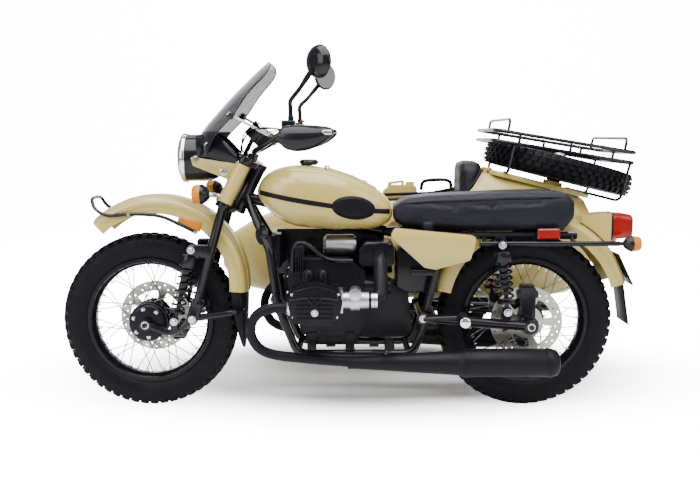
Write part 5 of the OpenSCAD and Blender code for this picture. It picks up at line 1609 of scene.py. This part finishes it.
    def cables(self, shop: Workshop) -> None:
        """Control cables that arch from the levers to the steering head.

        Args:
            shop: makes the pieces.
        """
        perch = BAR_TIP - 176 * GRIP_WAY
        for name, side, rise, end in (("clutch_cable", 1, 20, (60, 34)), ("brake_hose", -1, 30, (74, -30)),
                                      ("throttle_cable", -1, 6, (50, -16))):
            start = perch * [1, side, 1] + [26, 0, 8]
            finish = HEAD + end[0] * AHEAD + [0, end[1], 0] + 112 * RISE
            bow = (start + finish) / 2 + [64, 0, 24 + rise]
            path = spline(np.array([start, start + [30, -side * 14, 6], bow, finish + [18, 0, 26], finish]),
                          40)
            radius = 3.6 if name == "brake_hose" else 2.8
            obj = shop.piece(name, sweep(path, radius, 10, up=(0.3, 0.1, 1)), RUBBER, Body.FORK)

    def build(self, shop: Workshop) -> None:
        """Makes everything round the bar.

        Args:
            shop: makes the pieces.
        """
        self.windshield(shop)
        self.controls(shop)
        self.gauge(shop)
        self.cables(shop)
        shop.dress(SAND, "fork_cowl", bevel=0.0012)
        lock = revolve([[0, 16], [7, 15], [10, 10], [10, 2], [14, 1], [14, -2], [0, -2]], 30)
        shop.pair("cowl_locks", lock.moved(HEAD + [86, 98.5, 66], LEFT), STEEL, Body.FORK)


@dataclass
class Engine:
    """Flat twin with its intake, alternator, exhaust and small hardware."""

    crank: tuple[float, float] = (827.0, 472.0)

    def build(self, shop: Workshop) -> None:
        """Dresses the engine's nodes and adds its small pieces.

        Args:
            shop: makes the pieces.
        """
        shop.dress(CASE, "engine_block", "air_box", bevel=0.003)
        shop.dress(CASE, "cylinders")
        shop.dress(CASE, "valve_covers", bevel=0.0025)
        shop.dress(ALLOY, "throttle_bodies", "alternator", bevel=0.0015)
        self.exhaust(shop)
        self.covers(shop)
        self.intake(shop)
        self.electrics_and_shade_fill(shop)

    def exhaust(self, shop: Workshop) -> None:
        """Pipes with their mufflers, head rings and hanger bands.

        Args:
            shop: makes the pieces.
        """
        line = spline(np.array([[912, 290, 450], [985, 290, 449], [1038, 286, 430], [1068, 276, 386],
                                [1068, 262, 332], [1038, 248, 284], [985, 239, 260], [900, 236, 248],
                                [800, 236, 239], [690, 236, 230]]), 90)
        can = revolve([[0, 40], [30, 40], [30, 0], [36, 0], [48, 8], [54, 26], [54, 362], [52, 370],
                       [49, 374], [47, 386], [23.5, 768], [23, 800], [0, 800]], 64)
        shop.pair("exhaust_pipes",
                  join(sweep(line, 19, 20, up=(0, 1, 0.2)), can.moved([-92, 236, 228], FORWARD)), MATT,
                  Body.CHASSIS, ("exhaust",))
        ring = revolve([[19, -9], [27, -9], [29, -4], [27, 4], [22, 9], [19, 9], [19, -9]], 40)
        shop.pair("exhaust_rings", ring.moved([924, 290, 450], FORWARD), STEEL, Body.CHASSIS)
        band = revolve([[53.4, -9], [55.6, -8], [55.6, 8], [53.4, 9], [53.4, -9]], 64)
        shop.pair("muffler_bands",
                  join(band.moved([262, 236, 228], FORWARD), band.moved([-52, 236, 228], FORWARD)), MATT,
                  Body.CHASSIS)

    def covers(self, shop: Workshop) -> None:
        """Nuts, screws and ridges of the valve covers, rocker caps and front case bolts.

        Args:
            shop: makes the pieces.
        """
        x, z = self.crank
        shop.pair("cover_nuts", copies(bolt(11, 9), [[x, 395.2, z - 20]], LEFT), STEEL, Body.CHASSIS)
        spots = [[x - 84, 351, z + 40], [x + 84, 351, z + 40], [x - 78, 351, z - 44], [x + 78, 351, z - 44]]
        shop.pair("cover_screws", copies(bolt(5, 5), spots, LEFT), STEEL, Body.CHASSIS)
        vee = np.array([[916, 396.4, 498], [856, 396.4, 505], [842, 396.4, 490], [828, 396.4, 476],
                        [814, 396.4, 490], [801, 396.4, 505], [738, 396.4, 498]])
        shop.pair("cover_ridges", sweep(vee, 4, 10, up=(0, 1, 0)), CASE, Body.CHASSIS)
        caps = copies(revolve([[0, 46], [12, 46], [17, 42], [21, 30], [21, 0], [0, 0]], 12),
                      [[856, 214, 536], [802, 214, 536]], UPWARD)
        shop.pair("rocker_caps", caps, CASE, Body.CHASSIS)
        shop.piece("front_case_bolts",
                   copies(bolt(5.5, 5), bolt_circle(8, 84), UPWARD).moved([946, 0, 472], FORWARD), STEEL,
                   Body.CHASSIS)

    def intake(self, shop: Workshop) -> None:
        """Hose clamps, crossover pipe and oil cooler.

        Args:
            shop: makes the pieces.
        """
        clamp = revolve([[27, -6], [29.5, -5], [29.5, 5], [27, 6], [27, -6]], 40)
        shop.pair("hose_clamps",
                  join(clamp.moved([616, 290, 480], FORWARD), clamp.moved([604, 290, 480], FORWARD)), STEEL,
                  Body.CHASSIS)
        pipe = spline(np.array([[922, 128, 560], [920, 130, 640], [900, 132, 672], [860, 134, 664],
                                [800, 138, 618], [760, 138, 606], [690, 134, 604]]), 50)
        shop.pair("crossover_pipe", sweep(pipe, 8, 14, up=(0, 1, 0)), ENAMEL, Body.CHASSIS)
        bars = [brick([878 + k * 9, 122, 560], [883 + k * 9, 150, 656], 2) for k in range(4)]
        shop.pair("oil_cooler",
                  join(*bars, brick([874, 124, 654], [914, 148, 664], 3),
                       brick([874, 124, 552], [914, 148, 562], 3)), CASE, Body.CHASSIS)

    def electrics_and_shade_fill(self, shop: Workshop) -> None:
        """Coil tray, battery box, finned regulator, fuse box and horn. The tray, battery box and regulator
        are partly real parts and partly painted shade: dark pieces, set large, that fill the gap round the
        engine where the sidecar tub lies in shadow.

        Args:
            shop: makes the pieces.
        """
        # painted shade as well as real parts: these three dark pieces are sized and placed to hide the
        # sidecar tub, which is in shadow there
        shop.piece("coil_tray_shade_fill", brick([560, -98, 520], [1000, -80, 706], 6), PLASTIC, Body.CHASSIS)
        shop.piece("battery_box_shade_fill", brick([352, -96, 470], [520, 84, 640], 8), PLASTIC, Body.CHASSIS)
        ribs = [brick([988, -92 + k * 16, 566], [1016, -86 + k * 16, 690], 2) for k in range(8)]
        shop.piece("regulator_shade_fill", join(brick([976, -96, 560], [1000, 30, 696], 5), *ribs), CASE, Body.CHASSIS)
        shop.piece("fuse_box", brick([372, 120, 548], [466, 156, 572], 4), PLASTIC, Body.CHASSIS)
        horn = revolve([[0, 20], [18, 18], [34, 10], [42, 4], [42, -6], [30, -16], [0, -18]], 48)
        shop.piece("horn", horn.moved([1048, 74, 700], [0.8, 0.5, 0]), ENAMEL, Body.CHASSIS)


@dataclass
class SidecarTrim:
    """Sidecar's paint, cockpit trim, fuel can fittings, rack and spare wheel nut."""

    rows: tuple = ((92, 330, 940, 275), (176, 330, 848, 275), (300, 330, 822, 275), (600, 330, 806, 272.3),
                   (850, 332, 782, 258.5))

    def rim_line(self) -> Array:
        """Closed line of the cockpit's mouth, lying on the tub's upper skin.

        Returns:
            Points of the line.
        """
        a = np.linspace(0, 2 * math.pi, 160, endpoint=False)
        c, s = np.cos(a), np.sin(a)
        x = 447 + 353 * squared(c, 0.34)
        half = 216 - 40 * (x - 94) / 706
        y = half * squared(s, 0.34)
        t = np.array(self.rows)
        low, high, wide = (np.interp(x, t[:, 0], t[:, i]) for i in (1, 2, 3))
        z = (low + high) / 2 + (high - low) / 2 * (1 - np.abs(y / wide) ** 4) ** 0.25
        return np.stack([x, TUB_Y + y, np.minimum(z, 924)], -1)

    def build(self, shop: Workshop) -> None:
        """Dresses the sidecar and adds its trim.

        Args:
            shop: makes the pieces.
        """
        shop.dress(SAND, "sidecar_body", sharp=30)
        shop.dress(SAND, "trunk_lid", "jerry_can", bevel=0.003)
        shop.dress(ENAMEL, "sidecar_frame", "main_frame", "footpegs")
        shop.dress(ENAMEL, "luggage_rack", swell=0.0016)
        shop.piece("cockpit_trim", sweep(self.rim_line(), 7, 10, closed=True), RUBBER, Body.CHASSIS)
        rail = spline(np.array([[190, -925, 818], [196, -925, 852], [230, -925, 864], [300, -925, 862],
                                [334, -925, 850], [342, -925, 812]]), 50)
        shop.piece("armrest_bar", sweep(rail, 9, 14, up=(0, 1, 0)), RUBBER, Body.CHASSIS)
        shop.piece("spare_wheel_nut", copies(bolt(22, 14), [SPARE_STUD + 150 * LID_NORMAL], LID_NORMAL),
                   STEEL, Body.TRUNK)
        self.can_fittings(shop)
        self.pegs(shop)

    def can_fittings(self, shop: Workshop) -> None:
        """Crossed pressings on the fuel can, and its strap.

        Args:
            shop: makes the pieces.
        """
        can = np.array([360.0, -955.3 - 84, 484.0])
        cross = [np.array([[30, 40], [142, 290]]), np.array([[142, 40], [30, 290]])]
        lines = [sweep(np.stack([np.linspace(c[0, 0], c[1, 0], 12), np.full(12, y),
                                 np.linspace(c[0, 1], c[1, 1], 12)], -1) + can, 4.5, 8, up=(0, 1, 0))
                 for c in cross for y in (0, 84)]
        shop.piece("can_pressing", join(*lines), SAND, Body.CHASSIS)
        a = np.linspace(0, 2 * math.pi, 80, endpoint=False)
        c, s = np.cos(a), np.sin(a)
        loop = np.stack([86 + 88.5 * squared(c, 0.16), 42 + 44.5 * squared(s, 0.16), np.full(80, 200.0)],
                        -1) + can
        up, out = 13 * UPWARD, (loop - can - [86, 42, 200]) * 0.025
        strap = np.stack([loop - up, loop + up, loop + up + out, loop - up + out], 1)
        shop.piece("can_strap", grid(strap, wrap_u=True, wrap_v=True), RUBBER, Body.CHASSIS)

    def pegs(self, shop: Workshop) -> None:
        """Ribbed rubbers and bright ends of the foot pegs.

        Args:
            shop: makes the pieces.
        """
        pegs = revolve([[18, 0], [20.5, 2], [20.5, 100], [18, 104], [0, 104], [0, 0]], 40, 0.02, 10)
        shop.pair("peg_rubbers", pegs.moved([274, 206, 398], LEFT), RUBBER, Body.CHASSIS)
        rider = revolve([[16, 0], [18.5, 2], [18.5, 78], [16, 82], [0, 82], [0, 0]], 40, 0.02, 10)
        shop.pair("rider_peg_rubbers", rider.moved([556, 290, 322], LEFT), RUBBER, Body.CHASSIS)
        ends = copies(revolve([[0, 5], [15, 4.5], [19, 2], [19, -3], [0, -3]], 36), [[274, 310, 398]], LEFT)
        shop.pair("peg_ends", ends, CHROME, Body.CHASSIS)


@dataclass
class Studio:
    """Pale floor, soft light and the camera at the photograph's angle."""

    eye: tuple[float, float, float] = (700.0, 3461.0, 1084.0)
    pitch: float = 6.8
    focal_px: float = 870.0
    frame_px: tuple[int, int] = (700, 479)

    def build(self, origin: Array) -> None:
        """Makes the floor, the lights and the camera.

        Args:
            origin: the drawing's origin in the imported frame, in metres.
        """
        self.floor()
        self.light("top_light", (0.2, 1.6, 4.4), (0, 0.2, 0.5), 4.5, 560)
        self.light("front_light", (3.6, 3.8, 2.4), (0.4, 0.2, 0.6), 3.0, 150)
        self.light("back_light", (-3.8, 3.2, 2.6), (-0.3, 0.1, 0.6), 3.0, 115)
        self.light("backdrop_light", (0, -3.0, 5.5), (0, -8, 1.0), 5.0, 900)
        self.room()
        self.camera(origin)

    def camera(self, origin: Array) -> None:
        """Camera at the place fitted to the photograph.

        Args:
            origin: the drawing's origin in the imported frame, in metres.
        """
        scene = bpy.context.scene
        cam = bpy.data.cameras.new("photo_view")
        cam.sensor_fit, cam.sensor_width = "HORIZONTAL", 36
        cam.lens = 36 * self.focal_px / self.frame_px[0]
        eye = bpy.data.objects.new("photo_view", cam)
        eye.location = np.array(self.eye) / 1000 + origin
        eye.rotation_euler = (math.radians(90 - self.pitch), 0, math.radians(180))
        scene.collection.objects.link(eye)
        scene.camera = eye

    @staticmethod
    def room() -> None:
        """White surroundings, dim as a light and bright to the camera."""
        world = bpy.data.worlds.new("white_room")
        world.use_nodes = True
        tree = world.node_tree
        sky = tree.nodes["Background"]
        seen = add_node(tree, "LightPath")
        glow = add_node(tree, "MapRange", {"To Min": 0.4, "To Max": CAMERA_GLOW})
        set_inputs(sky, {"Color": (1, 1, 1, 1)})
        tree.links.new(seen.outputs["Is Camera Ray"], glow.inputs["Value"])
        tree.links.new(glow.outputs["Result"], sky.inputs["Strength"])
        bpy.context.scene.world = world

    @staticmethod
    def floor() -> None:
        """Flat floor that turns up into a backdrop: a straight run, a quarter round and a wall."""
        a = np.linspace(0, math.pi / 2, 24)
        run = np.concatenate([[[8.0, 0.0]], np.stack([-7 - 3 * np.sin(a), 3 - 3 * np.cos(a)], -1),
                              [[-10.0, 9.0]]])
        x = np.linspace(-16, 16, 9)
        points = np.stack([np.broadcast_to(x, (len(run), 9)), np.repeat(run[:, :1], 9, 1),
                           np.repeat(run[:, 1:], 9, 1)], -1)
        shape = grid(points)
        mesh = bpy.data.meshes.new("floor")
        mesh.from_pydata(shape.points.tolist(), [], shape.faces)
        mesh.polygons.foreach_set("use_smooth", np.ones(len(mesh.polygons), bool))
        mesh.materials.append(Studio.paper())
        obj = bpy.data.objects.new("floor", mesh)
        bpy.context.scene.collection.objects.link(obj)

    @staticmethod
    def paper() -> bpy.types.Material:
        """White paper with a faint mottle, which glows to the camera away from the outfit.

        Returns:
            The material.
        """
        mat = bpy.data.materials.new("white_paper")
        mat.use_nodes = True
        tree, link = mat.node_tree, mat.node_tree.links.new
        bsdf = tree.nodes["Principled BSDF"]
        set_inputs(bsdf, {"Roughness": 0.6, "Specular IOR Level": 0.2, "Emission Color": (1, 1, 1, 1)})
        coords = add_node(tree, "TexCoord")
        noise = add_node(tree, "TexNoise", {"Scale": 1.5})
        tint = mix_colours(tree, noise.outputs["Fac"], (0.95, 0.95, 0.955, 1), (0.9, 0.9, 0.905, 1))
        # painted light: the glow fades out over an ellipse round the outfit, so the floor darkens towards it
        # as a painted shadow pool round its own cast shadow
        shrink = add_node(tree, "Mapping", {"Location": (0, 0.13, 0), "Scale": (1 / 1.4, 1 / 0.75, 1)})
        length = add_node(tree, "VectorMath", operation="LENGTH")
        ramp = add_node(tree, "MapRange",
                        {"From Min": 0.55, "From Max": 1.3, "To Min": 0.0, "To Max": CAMERA_GLOW},
                        interpolation_type="SMOOTHSTEP")
        seen = add_node(tree, "LightPath")
        gain = add_node(tree, "Math", operation="MULTIPLY")
        link(coords.outputs["Object"], noise.inputs["Vector"])
        link(tint, bsdf.inputs["Base Color"])
        link(coords.outputs["Object"], shrink.inputs["Vector"])
        link(shrink.outputs["Vector"], length.inputs[0])
        link(length.outputs["Value"], ramp.inputs["Value"])
        link(ramp.outputs["Result"], gain.inputs[0])
        link(seen.outputs["Is Camera Ray"], gain.inputs[1])
        link(gain.outputs[0], bsdf.inputs["Emission Strength"])
        return mat

    @staticmethod
    def light(name: str, place: Vec, target: Vec, size: float, power: float) -> None:
        """One square soft light that faces a target.

        Args:
            name: its name.
            place: where it hangs, in metres.
            target: the point it faces.
            size: length of a side.
            power: watts.
        """
        lamp = bpy.data.lights.new(name, "AREA")
        lamp.shape, lamp.size, lamp.energy = "SQUARE", size, power
        obj = bpy.data.objects.new(name, lamp)
        obj.location = place
        z = np.array(place, float) - np.array(target, float)
        frame = axes_on(z)
        obj.rotation_euler = Matrix(frame.T.tolist()).to_euler()
        bpy.context.scene.collection.objects.link(obj)


def main() -> None:
    """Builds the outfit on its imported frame."""
    logging.basicConfig(level=logging.INFO, format="%(name)s: %(message)s")
    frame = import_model()
    shop = Workshop(frame, ShaderGroups())
    Studio().build(shop.origin)
    spare = SPARE_STUD + 84 * LID_NORMAL
    wheels = [LacedWheel("front", Body.FRONT_WHEEL, "front_tyre", FRONT_AXLE),
              LacedWheel("rear", Body.REAR_WHEEL, "rear_tyre", REAR_AXLE),
              LacedWheel("sidecar", Body.SIDECAR_WHEEL, "sidecar_tyre", SIDECAR_AXLE),
              LacedWheel("spare", Body.TRUNK, "spare_tyre", spare, LID_NORMAL)]
    for part in [*wheels, RunningGear(), Fenders(), Tank(), Seats(), Lamps(), Cockpit(), Engine(),
                 SidecarTrim()]:
        part.build(shop)
        LOG.info("%s done", type(part).__name__)


if __name__ == "__main__":
    main()
